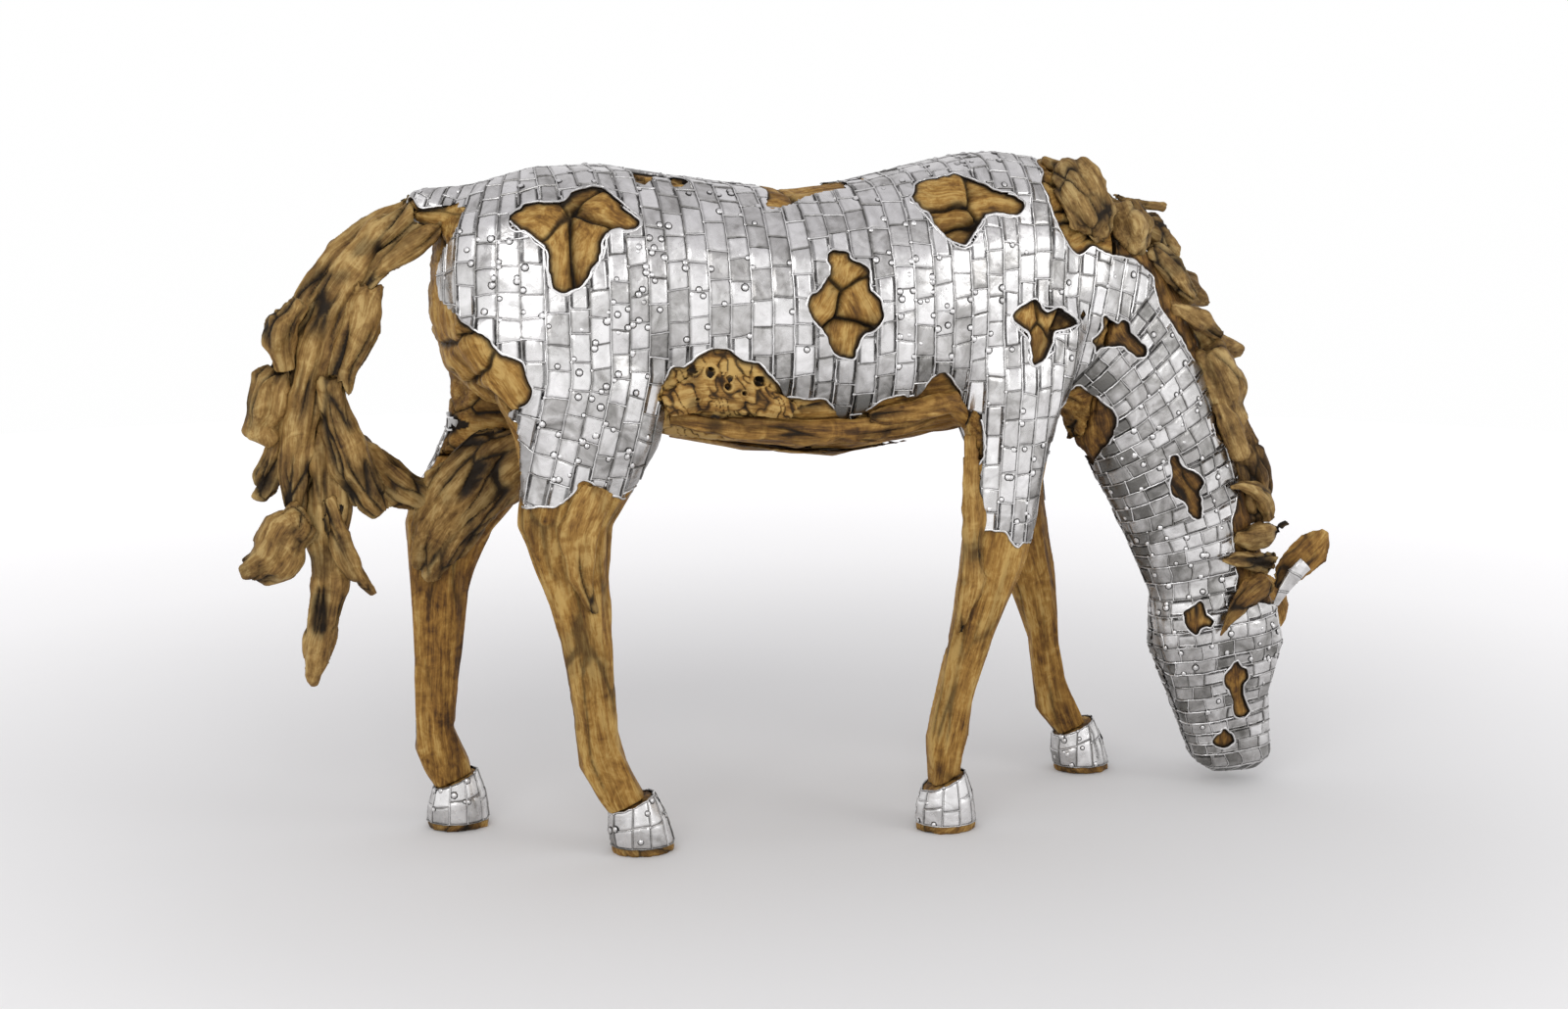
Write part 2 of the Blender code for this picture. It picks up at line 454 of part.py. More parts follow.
def add_loft(bm, rings):
    """A closed skin over a row of rings that have the same number of points."""
    rows = [[bm.verts.new(point) for point in points] for points in rings]
    count = len(rows[0])
    faces = [bm.faces.new(rows[0]), bm.faces.new(list(reversed(rows[-1])))]
    for low, high in zip(rows, rows[1:]):
        for i in range(count):
            j = (i + 1) % count
            faces.append(bm.faces.new((low[i], high[i], high[j], low[j])))
    bmesh.ops.recalc_face_normals(bm, faces=faces)


def loft_mesh(rings, name):
    bm = bmesh.new()
    add_loft(bm, rings)
    bmesh.ops.triangulate(bm, faces=bm.faces[:])
    return mesh_of(bm, name)


def lengthened(rungs):
    """A leg's rungs with one more that carries its last stretch down into the hoof."""
    above, last = rungs[-2], rungs[-1]
    return rungs + (tuple(b + LEG_RUN_ON * (b - a) for a, b in zip(above, last)),)


def body_form():
    """The whole horse as one smooth closed mesh: the outer face of the metal."""
    bm = bmesh.new()
    for rungs in (TORSO, NECK, DOCK):
        add_loft(bm, [ring(rung, RING_SIDES, BODY_SQUARENESS) for rung in rungs])
    add_loft(bm, [ring(rung, RING_SIDES, HEAD_SQUARENESS) for rung in HEAD])
    for rungs in (RIGHT_HIND, LEFT_HIND, RIGHT_FORE, LEFT_FORE):
        add_loft(bm, [ring(rung, RING_SIDES, BODY_SQUARENESS) for rung in lengthened(rungs)])
    obj = show("form", mesh_of(bm, "form"))
    remesh = obj.modifiers.new("Blend", "REMESH")
    remesh.mode = "VOXEL"
    remesh.voxel_size = BLEND_VOXEL * K
    for _ in range(BLEND_ROUNDS):
        for factor in SMOOTHING:
            smooth = obj.modifiers.new("Smooth", "SMOOTH")
            smooth.factor = factor
            smooth.iterations = BLEND_PASSES
    fine = baked(obj)
    obj = show("form", fine)
    decimate = obj.modifiers.new("Facets", "DECIMATE")
    decimate.ratio = FORM_TRIANGLES / (2 * len(fine.polygons))
    decimate.use_collapse_triangulate = True
    return baked(obj)


def moved_out(mesh, distance):
    """A copy of a mesh with each face moved out by a distance, or in if it is negative."""
    bm = bmesh.new()
    bm.from_mesh(mesh)
    bm.normal_update()
    shifts = [vert.normal * (distance * min(vert.calc_shell_factor(), SHELL_LIMIT)) for vert in bm.verts]
    for vert, shift in zip(bm.verts, shifts):
        vert.co += shift
    return mesh_of(bm, mesh.name)


def sheet(outer):
    """The closed skin between a mesh and its copy moved in by the metal's thickness."""
    bm = bmesh.new()
    bm.from_mesh(moved_out(outer, -METAL))
    bmesh.ops.reverse_faces(bm, faces=bm.faces[:])
    bm.from_mesh(outer)
    return mesh_of(bm, "sheet")


def prism(outline, y_from, y_to):
    """A closed block with an outline in side view, between two sideways places."""
    bm = bmesh.new()
    rows = [[bm.verts.new((K * x, y, K * z)) for x, z in outline] for y in (y_from, y_to)]
    faces = [bm.faces.new(rows[0]), bm.faces.new(list(reversed(rows[1])))]
    for i in range(len(outline)):
        j = (i + 1) % len(outline)
        faces.append(bm.faces.new((rows[0][i], rows[1][i], rows[1][j], rows[0][j])))
    bmesh.ops.recalc_face_normals(bm, faces=faces)
    bmesh.ops.triangulate(bm, faces=bm.faces[:], ngon_method="EAR_CLIP")
    return mesh_of(bm, "prism")


def cut(mesh, tool_mesh, operation="DIFFERENCE"):
    """A mesh less the tool, or what the two share."""
    obj = show("work", mesh)
    tool = show("tool", tool_mesh)
    step = obj.modifiers.new("Cut", "BOOLEAN")
    step.operation = operation
    step.solver = "EXACT"
    step.object = tool
    result = baked(obj)
    bpy.data.objects.remove(tool)
    return result


def islands(bm):
    """The separate bodies of a mesh, each as a list of faces."""
    left = set(bm.faces)
    found = []
    while left:
        body = [left.pop()]
        for face in body:
            for edge in face.edges:
                for other in edge.link_faces:
                    if other in left:
                        left.remove(other)
                        body.append(other)
        found.append(body)
    return found


def signed_volume(faces):
    total = 0.0
    for face in faces:
        first = face.verts[0].co
        for a, b in zip(face.verts[1:], face.verts[2:]):
            total += first.dot(a.co.cross(b.co)) / 6
    return total


def tidied(mesh, crumb):
    """A mesh's bmesh data in triangles, without needless points and edges."""
    bm = bmesh.new()
    bm.from_mesh(mesh)
    bmesh.ops.dissolve_degenerate(bm, dist=crumb, edges=bm.edges[:])
    bmesh.ops.dissolve_limit(bm, angle_limit=FLAT_ANGLE, verts=bm.verts[:], edges=bm.edges[:])
    bmesh.ops.triangulate(bm, faces=bm.faces[:])
    return bm


def is_closed(bm):
    return all(len(edge.link_faces) == 2 for edge in bm.edges)


def largest_body(mesh):
    """A mesh with only its largest body, tidied."""
    for crumb in CRUMBS:
        bm = tidied(mesh, crumb)
        if is_closed(bm):
            break
    bodies = sorted(islands(bm), key=signed_volume)
    crumbs = [face for body in bodies[:-1] for face in body]
    bmesh.ops.delete(bm, geom=crumbs, context="FACES")
    return mesh_of(bm, mesh.name)


def shifted(outline, dx, dz):
    return [(x + dx, z + dz) for x, z in outline]


def bare_areas():
    """The cutters that open the metal."""
    blocks = [prism(outline, -SIDE_REACH, MIDDLE_LAP) for outline in RIGHT_SPOTS]
    blocks += [prism(shifted(outline, dx, dz), -MIDDLE_LAP, SIDE_REACH) for outline, dx, dz in LEFT_SPOTS]
    blocks.append(prism(SADDLE, -SIDE_REACH, K * SADDLE_REACH))
    blocks.append(prism(RIGHT_UNDERSIDE, -SIDE_REACH, MIDDLE_LAP))
    blocks.append(prism(LEFT_UNDERSIDE, -MIDDLE_LAP, SIDE_REACH))
    blocks.append(prism(RIGHT_REAR, -SIDE_REACH, MIDDLE_LAP))
    blocks.append(prism(LEFT_REAR, -MIDDLE_LAP, K * LEFT_REAR_WIDTH))
    blocks.append(prism(LEFT_BUTTOCK, -MIDDLE_LAP, K * LEFT_BUTTOCK_WIDTH))
    blocks.append(prism(MANE_STRIP, -SIDE_REACH, SIDE_REACH))
    blocks.append(prism(THROAT, -SIDE_REACH, SIDE_REACH))
    blocks.append(prism(BETWEEN_LEGS, -K * INNER_LEG, K * INNER_LEG))
    return blocks


def cladding(form):
    """The welded metal skin, open wherever the wood shows."""
    skin = sheet(form)
    for block in bare_areas():
        skin = cut(skin, block)
    return largest_body(skin)


def side_of(joint, reach, gap):
    """A block on one side of a joint plane: the joint's two points and a direction, moved off by a gap."""
    upper, lower = (Vector((point[0], 0, point[1])) for point in joint)
    along = (upper - lower).normalized()
    across = Vector((along.z, 0, -along.x)) * math.copysign(1, reach)
    start = across * (gap / K)
    corners = [upper + along + start, lower - along + start]
    corners += [lower - along + across * abs(reach), upper + along + across * abs(reach)]
    return prism([(corner.x, corner.z) for corner in corners], -SIDE_REACH, SIDE_REACH)


def leg_block(top, side, gap):
    """The space of one leg log under its top joint, made wider and higher by a gap all round."""
    front, rear = top
    rise = gap / K
    outline = ((front[0] + rise, front[1] + rise), (rear[0] - rise, rear[1] + rise))
    outline += ((rear[0] - rise, LEG_BLOCK_BOTTOM), (front[0] + rise, LEG_BLOCK_BOTTOM))
    near, far = sorted((side * (MIDDLE_LAP - gap), side * SIDE_REACH))
    return prism(outline, near, far)


def body_wood(form):
    """The wood under the metal, parted at neck, poll and the tops of the legs."""
    whole = moved_out(form, -METAL - FIT)
    pieces = {}
    trunk = whole.copy()
    for name, (front, rear, side) in LEGS.items():
        pieces[name + "_leg"] = cut(whole.copy(), leg_block((front, rear), side, 0.0), "INTERSECT")
        trunk = cut(trunk, leg_block((front, rear), side, FIT))
    front_part = cut(trunk.copy(), side_of(NECK_JOINT, LONG_REACH, FIT / 2), "INTERSECT")
    pieces["torso_wood"] = cut(trunk, side_of(NECK_JOINT, -LONG_REACH, FIT / 2), "INTERSECT")
    pieces["head_wood"] = cut(front_part.copy(), side_of(POLL_JOINT, LONG_REACH, FIT / 2), "INTERSECT")
    pieces["neck_wood"] = cut(front_part, side_of(POLL_JOINT, -LONG_REACH, FIT / 2), "INTERSECT")
    return {name: largest_body(mesh) for name, mesh in pieces.items()}


def hoof_ring(hoof, height, inset):
    """One ring of a hoof: level at the sole, sloping down to the heel at the top."""
    sole_x, top_x, y = hoof
    share = max(0.0, height - SOLE) / ((HOOF_FRONT_HEIGHT + HOOF_HEEL_HEIGHT) / 2 - SOLE)
    bulge = share * share
    half_length = HOOF_LENGTH + (PASTERN_LENGTH - HOOF_LENGTH) * bulge
    half_width = HOOF_WIDTH + (PASTERN_WIDTH - HOOF_WIDTH) * bulge
    a = half_length / 2 - inset
    b = half_width / 2 - inset
    centre_x = K * (sole_x + (top_x - sole_x) * share)
    slope = share * (HOOF_FRONT_HEIGHT - HOOF_HEEL_HEIGHT) / PASTERN_LENGTH
    points = []
    for step in range(HOOF_SIDES):
        angle = math.tau * step / HOOF_SIDES
        x = a * math.cos(angle)
        points.append((centre_x + x, K * y + b * math.sin(angle), height + slope * x))
    return points


def wrap_heights():
    """The heights of a metal wrap's rings, from just over the sole to the top."""
    low = SOLE + FIT
    top = (HOOF_FRONT_HEIGHT + HOOF_HEEL_HEIGHT) / 2
    return [low + (top - low) * step / HOOF_STEPS for step in range(HOOF_STEPS + 1)]


def hoof_wood(hoof):
    """The wood of a hoof: its sole at full width and a slightly smaller block in the metal wrap."""
    rings = [hoof_ring(hoof, 0.0, 0.0), hoof_ring(hoof, SOLE, 0.0)]
    rings += [hoof_ring(hoof, height, METAL + FIT) for height in [SOLE] + wrap_heights()[1:]]
    return loft_mesh(rings, "hoof")


def hoof_metal(hoof):
    """The metal wrap of a hoof, open above and below."""
    heights = wrap_heights()
    rings = [hoof_ring(hoof, height, 0.0) for height in heights]
    rings += [hoof_ring(hoof, height, METAL) for height in reversed(heights)]
    bm = bmesh.new()
    rows = [[bm.verts.new(point) for point in points] for points in rings]
    faces = []
    for low_row, high_row in zip(rows, rows[1:] + rows[:1]):
        for i in range(HOOF_SIDES):
            j = (i + 1) % HOOF_SIDES
            faces.append(bm.faces.new((low_row[i], low_row[j], high_row[j], high_row[i])))
    bmesh.ops.recalc_face_normals(bm, faces=faces)
    bmesh.ops.triangulate(bm, faces=bm.faces[:])
    return mesh_of(bm, "wrap")


def above_hoof(hoof):
    """A block over the sloping top of a hoof, which ends the leg log."""
    top = (HOOF_FRONT_HEIGHT + HOOF_HEEL_HEIGHT) / 2 + FIT
    slope = (HOOF_FRONT_HEIGHT - HOOF_HEEL_HEIGHT) / PASTERN_LENGTH
    rear, front = hoof[1] - HOOF_REACH, hoof[1] + HOOF_REACH
    rise = HOOF_REACH * slope
    outline = [(rear, top / K - rise), (front, top / K + rise), (front, LONG_REACH), (rear, LONG_REACH)]
    return prism(outline, -SIDE_REACH, SIDE_REACH)


def root(path, radii, flatness, seed):
    """A closed rough stick of wood along a path, with a lumpy section and worn ends."""
    lumps = random.Random(seed)
    points = [K * Vector(point) for point in path]
    tangents = []
    for i in range(len(points)):
        before = points[max(i - 1, 0)]
        after = points[min(i + 1, len(points) - 1)]
        tangents.append((after - before).normalized())
    rings = []
    for point, tangent, radius in zip(points, tangents, radii):
        side = tangent.cross(Vector((0, 1, 0))).normalized()
        depth = side.cross(tangent) * flatness
        ring_points = []
        for step in range(ROOT_SIDES):
            angle = math.tau * (step + LUMP_TURN * lumps.random()) / ROOT_SIDES
            reach = K * radius * lumps.uniform(LUMP_LEAST, LUMP_MOST)
            ring_points.append(point + (side * math.cos(angle) + depth * math.sin(angle)) * reach)
        rings.append(ring_points)
    return loft_mesh(rings, "root")


def bounds(mesh):
    low = [min(vert.co[axis] for vert in mesh.vertices) for axis in range(3)]
    high = [max(vert.co[axis] for vert in mesh.vertices) for axis in range(3)]
    return low, high


def near(mesh, other):
    (low, high), (other_low, other_high) = bounds(mesh), bounds(other)
    return all(low[i] - FIT < other_high[i] and other_low[i] - FIT < high[i] for i in range(3))


def settled(mesh, neighbours):
    """A piece cut back to lie against its neighbours with the fit between them."""
    for other in neighbours:
        if near(mesh, other):
            mesh = cut(mesh, moved_out(other, FIT))
    return largest_body(mesh)


def ear(shape):
    path, radii = shape
    return path, radii, EAR_THICKNESS / (2 * K * max(radii))


def loose_pieces():
    """Every root of the tail, mane, ears, belly and legs, in the order they are laid on."""
    groups = dict(BELLY)
    groups.update(LEG_PIECES)
    groups.update(TAIL)
    groups.update(MANE)
    groups["right_ear"] = ear(RIGHT_EAR)
    groups["left_ear"] = ear(LEFT_EAR)
    return {name: root(*shape, seed) for seed, (name, shape) in enumerate(groups.items())}


def build():
    """Every wood and metal piece as (name, mesh, is_metal)."""
    form = body_form()
    metal = {"metal_cladding": cladding(form)}
    wood = body_wood(form)
    for name, hoof in HOOVES.items():
        leg = name + "_leg"
        wood[leg] = largest_body(cut(wood[leg], above_hoof(hoof), "INTERSECT"))
        wood[name + "_hoof"] = hoof_wood(hoof)
        metal[name + "_hoof_wrap"] = hoof_metal(hoof)
    placed = [metal["metal_cladding"], *wood.values()]
    for name, piece in loose_pieces().items():
        wood[name] = settled(piece, placed)
        placed.append(wood[name])
    metal["right_ear_facing"] = settled(root(*EAR_FACING, EAR_FACING_SEED), placed)
    return wood, metal


def centred(meshes):
    """Move every mesh so that the whole figure's box is centred over the origin."""
    boxes = [bounds(mesh) for mesh in meshes]
    for axis in range(2):
        low = min(box[0][axis] for box in boxes)
        high = max(box[1][axis] for box in boxes)
        for mesh in meshes:
            for vert in mesh.vertices:
                vert.co[axis] -= (low + high) / 2


def main():
    clear_scene()
    wood_finish = material("driftwood", WOOD_COLOUR, 0.6, 0.0)
    metal_finish = material("bright_metal", METAL_COLOUR, 0.28, 1.0)
    wood, metal = build()
    centred([*wood.values(), *metal.values()])
    for pieces, finish in ((metal, metal_finish), (wood, wood_finish)):
        for name, mesh in pieces.items():
            mesh.materials.clear()
            mesh.materials.append(finish)
            mesh.shade_smooth()
            mesh.set_sharp_from_angle(angle=SHARP_ANGLE)
            show(name, mesh)


main()
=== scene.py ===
"""Looks of a grazing horse of driftwood clad with bright metal plate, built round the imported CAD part.

Metres, the part's own frame: +X to the head, +Y to the horse's left, +Z up.
"""

import json
import math
import random
from dataclasses import dataclass

import bmesh
import bpy
import numpy as np
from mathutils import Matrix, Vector, kdtree
from mathutils.bvhtree import BVHTree


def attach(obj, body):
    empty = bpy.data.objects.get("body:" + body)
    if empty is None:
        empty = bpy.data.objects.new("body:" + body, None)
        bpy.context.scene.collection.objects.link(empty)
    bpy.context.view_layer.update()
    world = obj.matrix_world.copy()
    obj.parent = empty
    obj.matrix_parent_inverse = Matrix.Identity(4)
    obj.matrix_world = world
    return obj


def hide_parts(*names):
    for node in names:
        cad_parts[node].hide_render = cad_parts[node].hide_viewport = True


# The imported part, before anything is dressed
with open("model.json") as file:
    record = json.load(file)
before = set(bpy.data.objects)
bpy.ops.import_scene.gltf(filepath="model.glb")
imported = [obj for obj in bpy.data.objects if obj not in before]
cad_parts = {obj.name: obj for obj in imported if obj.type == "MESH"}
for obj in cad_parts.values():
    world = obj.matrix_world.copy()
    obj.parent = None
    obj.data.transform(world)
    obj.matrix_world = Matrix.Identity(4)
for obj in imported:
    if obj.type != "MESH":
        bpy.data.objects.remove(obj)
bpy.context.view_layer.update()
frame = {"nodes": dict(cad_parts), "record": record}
NODES = frame["nodes"]

# The horse is drawn with its right hind sole here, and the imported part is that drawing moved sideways
DRAWN_SOLE = (-0.396, -0.149)
SOLE_MOUNT = "right_hind_sole"

# Thickness of the metal and its distance from the wood
METAL = 0.003
FIT = 0.0003

# The smooth form under the plates
CORE = (
    "torso_wood", "neck_wood", "head_wood",
    "right_hind_leg", "left_hind_leg", "right_fore_leg", "left_fore_leg",
)
WELD = 0.00001
TINY = 1e-12
FORM_VOXEL = 0.010
FORM_ROUNDS = 12
FORM_SMOOTHING = (0.5, -0.51)
FORM_PASSES = 5

# Rows of plates run along sheets across the body. Each row of the fan has the number of strips up to the next
# row, then three points (x, z) of its sheet seen from the side, the upper first, the lower again for the left
# side, and the turn of the sheet towards the tail in degrees.
BODY_ROWS = (
    (4, (-0.955, 1.70), (-0.900, 1.15), (-0.900, 0.80), (-0.900, 0.80), 78),
    (4, (-0.820, 1.70), (-0.800, 1.15), (-0.830, 0.80), (-0.850, 0.80), 48),
    (4, (-0.700, 1.70), (-0.690, 1.15), (-0.745, 0.80), (-0.780, 0.80), 22),
    (5, (-0.580, 1.70), (-0.575, 1.15), (-0.645, 0.80), (-0.720, 0.80), 0),
    (2, (-0.350, 1.70), (-0.345, 1.15), (-0.430, 0.80), (-0.560, 0.80), 0),
    (13, (-0.250, 1.70), (-0.250, 1.15), (-0.250, 0.80), (-0.250, 0.80), 0),
    (5, (0.380, 1.74), (0.400, 1.10), (0.385, 0.70), (0.540, 0.70), 0),
    (4, (0.630, 1.72), (0.600, 1.10), (0.580, 0.70), (0.740, 0.70), 0),
    (4, (0.860, 1.72), (0.740, 1.10), (0.700, 0.70), (0.860, 0.70), 0),
    (0, (1.060, 1.72), (0.900, 1.10), (0.860, 0.70), (0.980, 0.70), 0),
)
NECK_ROWS = (
    (3, (0.970, 1.370), (0.820, 1.215), (0.660, 1.050), (0.660, 1.050), 0),
    (3, (1.080, 1.230), (0.905, 1.095), (0.735, 0.965), (0.735, 0.965), 0),
    (3, (1.145, 1.080), (0.975, 0.980), (0.800, 0.875), (0.800, 0.875), 0),
    (3, (1.195, 0.930), (1.030, 0.860), (0.860, 0.780), (0.860, 0.780), 0),
    (3, (1.235, 0.790), (1.070, 0.735), (0.905, 0.680), (0.905, 0.680), 0),
    (2, (1.270, 0.650), (1.105, 0.620), (0.935, 0.590), (0.935, 0.590), 0),
    (2, (1.305, 0.560), (1.130, 0.530), (0.950, 0.500), (0.950, 0.500), 0),
    (2, (1.360, 0.470), (1.160, 0.445), (0.960, 0.415), (0.960, 0.415), 0),
    (2, (1.372, 0.390), (1.180, 0.367), (0.985, 0.340), (0.985, 0.340), 0),
    (2, (1.350, 0.315), (1.190, 0.295), (1.020, 0.270), (1.020, 0.270), 0),
    (2, (1.345, 0.245), (1.200, 0.225), (1.050, 0.200), (1.050, 0.200), 0),
    (2, (1.343, 0.175), (1.215, 0.158), (1.080, 0.140), (1.080, 0.140), 0),
    (1, (1.354, 0.110), (1.230, 0.097), (1.105, 0.083), (1.105, 0.083), 0),
    (1, (1.350, 0.065), (1.240, 0.055), (1.125, 0.045), (1.125, 0.045), 0),
    (0, (1.345, 0.030), (1.250, 0.024), (1.150, 0.018), (1.150, 0.018), 0),
)
HEAD_ROW = 6

# The body's upright rows end at this line across the neck base, and the neck's rows begin there
NECK_LIMIT = ((0.970, 1.370), (0.660, 1.050), (0.900, 0.550), (0.900, 0.550), 0)
BODY_SIDE = -1
NECK_SIDE = 1
EITHER_SIDE = 0

# The walk down a sheet: it stops at its length, above the floor of the plates on the legs, where it stalls,
# where the sheet lies flat on the form, or where it comes back to the middle
SLICES_PER_STRIP = 4
WALK_STEP = 0.010
WALK_LENGTH = 1.5
WALK_FLOOR = 0.62
WALK_TOP = 1.5
WALK_CORRECTIONS = 2
START_REACH = 0.4
GRID_MARGIN = 0.001
STALLED_SHARE = 0.3
FLAT_ON_FORM = 0.05
MIDDLE_REACH = 0.004
POINTS_BEFORE_MIDDLE = 8

# Faces that look forward: how far they reach sideways and up, and the line of the throat before them
FRONT_REACH = 0.264
FRONT_TOP = 1.30
FRONT_STRIP = 0.033
FRONT_FACING = 0.93
FRONT_START = 1.60
FRONT_SEED = 9
THROAT_X = 0.64
THROAT_Z = 1.05
THROAT_SLOPE = 0.66

# Plates and their seams
PLATE_LENGTH = 0.062
PLATE_LENGTHS = (0.80, 1.22)
HEAD_PLATE_LENGTH = 0.050
BODY_STRIP = 0.030
NECK_STRIP = 0.028
SEAM_JITTER = 0.004
LAG_LIMIT = 0.05
PLATE_BORDER = 0.0046
PLATE_DIP = 0.0014
PLATE_BULGE = 0.0016
PLATE_TILT = 0.036
DENT = 0.0009
PLATE_TONES = (0.30, 1.05)
UNDER_SHADE = 1.5
BODY_SHADE = -0.05
NECK_SHADE = 0.18
HEAD_SHADE = 0.12
HOOF_SHADE = -0.15
BEAD_WIDTH = 0.0032
BEAD_HEIGHT = 0.0021
BEAD_STEP = 0.009
BEAD_WOBBLE = 0.0008
RIM_BAND = 0.0045
RIM_RISE = 0.0007
RIM_DEPTH = 0.009
RIM_STEP = 0.004
TEAR = 0.0065
TEAR_LENGTH = 0.034
TORN_ROUGHNESS = 0.0020
TORN_GRAIN = 0.011
SKIN_EDGE = 0.001
SKIN_DEPTH = 0.0022
SKIN_SHARE = 0.35
# The sheet under the seams: a low tone and soot, as painted shade in the gaps between plates
SKIN_TONE = 0.45
SKIN_SOOT_AND_SHADE = 0.25
RIVET_RADIUS = 0.0060
RIVET_HEIGHT = 0.0034
RIVET_SIDES = 8
BLOB_RADIUS = 0.0030

FLOOR_RADIUS = 9.0
# The floor's colour from its middle to its edge: pale, painted greyer round the horse as shade
FLOOR_PALE_AND_PAINTED_SHADE = ((0.0, (0.70,) * 3), (0.18, (0.78,) * 3), (0.40, (0.92,) * 3), (1.0, (0.95,) * 3))
# Painted light: the floor glows, more from its middle to its edge, so that it looks white far off
FLOOR_PAINTED_GLOW = ((0.0, (0.0,) * 3), (0.16, (0.02,) * 3), (0.55, (0.26,) * 3), (1.0, (0.34,) * 3))
SKY_TONES = ((0.0, (0.98,) * 3), (0.56, (1.0,) * 3), (0.70, (0.80, 0.79, 0.80)), (1.0, (0.70, 0.69, 0.71)))

# Softboxes: name, place, aim, width, height, watts
SOFTBOXES = (
    ("key", (-2.6, -4.8, 3.6), (-0.1, 0, 0.9), 4.4, 2.6, 105),
    ("fill", (4.0, -4.0, 2.8), (0.3, 0, 0.8), 2.4, 2.0, 40),
)

# Camera, fitted to the photo's hooves and floor line in the drawing's place
CAMERA_PLACE = (-1.461, -5.095, 1.650)
CAMERA_YAW = 16.0
CAMERA_PITCH = 9.098
LENS = 50.0
SENSOR = 36.0


def drawing_offset():
    """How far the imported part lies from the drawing."""
    mount = next(m for m in frame["record"]["mounts"] if m["name"] == SOLE_MOUNT)
    return Vector((mount["pos_m"][0] - DRAWN_SOLE[0], mount["pos_m"][1] - DRAWN_SOLE[1], 0))


OFFSET = drawing_offset()


def placed(name, data):
    """A new object in the scene."""
    obj = bpy.data.objects.new(name, data)
    bpy.context.scene.collection.objects.link(obj)
    return obj


def show(name, mesh, slot, *replaced):
    """A scene object for a mesh, riding on the part."""
    obj = placed(name, mesh)
    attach(obj, "root")
    if replaced:
        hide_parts(*replaced)


def baked(mesh, *modifiers, keep_values=False):
    """A mesh with modifiers applied, each a type and its properties, with or without its stored values."""
    obj = placed("work", mesh)
    for kind, properties in modifiers:
        modifier = obj.modifiers.new(kind, kind)
        for name, value in properties.items():
            setattr(modifier, name, value)
    graph = bpy.context.evaluated_depsgraph_get()
    made = bpy.data.meshes.new_from_object(
        obj.evaluated_get(graph), preserve_all_data_layers=keep_values, depsgraph=graph
    )
    bpy.data.objects.remove(obj)
    return made


def voxels(size):
    """The modifier that makes one skin of even faces."""
    return "REMESH", {"mode": "VOXEL", "voxel_size": size}


def smoothing(passes, factor=0.5):
    """The modifier that softens a mesh."""
    return "SMOOTH", {"factor": factor, "iterations": passes}


def decimation(share):
    """The modifier that keeps a share of the faces."""
    return "DECIMATE", {"ratio": share}


def put_values(mesh, **values):
    """Store one number a point under each name, for the material."""
    for name, numbers in values.items():
        layer = mesh.attributes.new(name, "FLOAT", "POINT")
        layer.data.foreach_set("value", np.asarray(numbers, dtype=np.float32))


def dressed(mesh, material):
    """A smooth mesh with one material."""
    mesh.materials.clear()
    mesh.materials.append(material)
    mesh.shade_smooth()
    return mesh


def welded(name):
    """A CAD node's mesh as bmesh data, joined where the import split it."""
    bm = bmesh.new()
    bm.from_mesh(NODES[name].data)
    bmesh.ops.remove_doubles(bm, verts=bm.verts[:], dist=WELD)
    bm.normal_update()
    return bm


def moved_out(bm, distance):
    """Move every point along its normal."""
    shifts = [vert.normal * distance for vert in bm.verts]
    for vert, shift in zip(bm.verts, shifts):
        vert.co += shift


def mesh_of(bm, name):
    """A mesh from bmesh data, which is freed."""
    mesh = bpy.data.meshes.new(name)
    bm.to_mesh(mesh)
    bm.free()
    return mesh


def coordinates(mesh):
    """A mesh's points."""
    flat = np.zeros(len(mesh.vertices) * 3)
    mesh.vertices.foreach_get("co", flat)
    return flat.reshape(-1, 3)


def normals_of(mesh):
    """A mesh's smooth normals."""
    flat = np.zeros(len(mesh.vertices) * 3)
    mesh.vertex_normals.foreach_get("vector", flat)
    return flat.reshape(-1, 3)


def smooth_form():
    """The outer face of the metal over the whole body as one smooth closed mesh."""
    bm = bmesh.new()
    for name in CORE:
        part = welded(name)
        moved_out(part, METAL + FIT)
        bm.from_mesh(mesh_of(part, "part"))
    rounds = [smoothing(FORM_PASSES, factor) for factor in FORM_SMOOTHING * FORM_ROUNDS]
    return baked(baked(mesh_of(bm, "form"), voxels(FORM_VOXEL)), *rounds)


def tree_of(mesh):
    """A tree for finding nearest points of a mesh and where rays meet it."""
    bm = bmesh.new()
    bm.from_mesh(mesh)
    tree = BVHTree.FromBMesh(bm)
    bm.free()
    return tree


def unit(vectors):
    """Vectors along the last axis, at length 1."""
    return vectors / (np.linalg.norm(vectors, axis=-1, keepdims=True) + TINY)


class Surface:
    """A smooth mesh, for finding its nearest point and the normal there."""

    def __init__(self, mesh):
        self.mesh = mesh
        self.tree = tree_of(mesh)
        self.points = coordinates(mesh)
        self.normals = normals_of(mesh)
        self.faces = [tuple(face.vertices) for face in mesh.polygons]

    def nearest(self, point):
        """The nearest point of the surface, and the smooth normal there."""
        place, _, index, _ = self.tree.find_nearest(point)
        corners = list(self.faces[index])
        gaps = np.linalg.norm(self.points[corners] - np.array(place), axis=1) + 0.001
        total = (self.normals[corners] / gaps[:, None]).sum(axis=0)
        return place, Vector(total).normalized()


FORM = Surface(smooth_form())


# The sheets that the rows of plates follow


def sheets(rows):
    """Every slice's sheet: its side-view points, and its turn."""
    made = []
    for row, following in zip(rows, rows[1:]):
        count = row[0] * SLICES_PER_STRIP
        for step in range(count):
            share = step / count
            made.append([between(a, b, share) for a, b in zip(row[1:], following[1:])])
    made.append(list(rows[-1][1:]))
    return made


def between(a, b, share):
    """A number or a row of numbers between two others."""
    if isinstance(a, tuple):
        return tuple(p + (q - p) * share for p, q in zip(a, b))
    return a + (b - a) * share


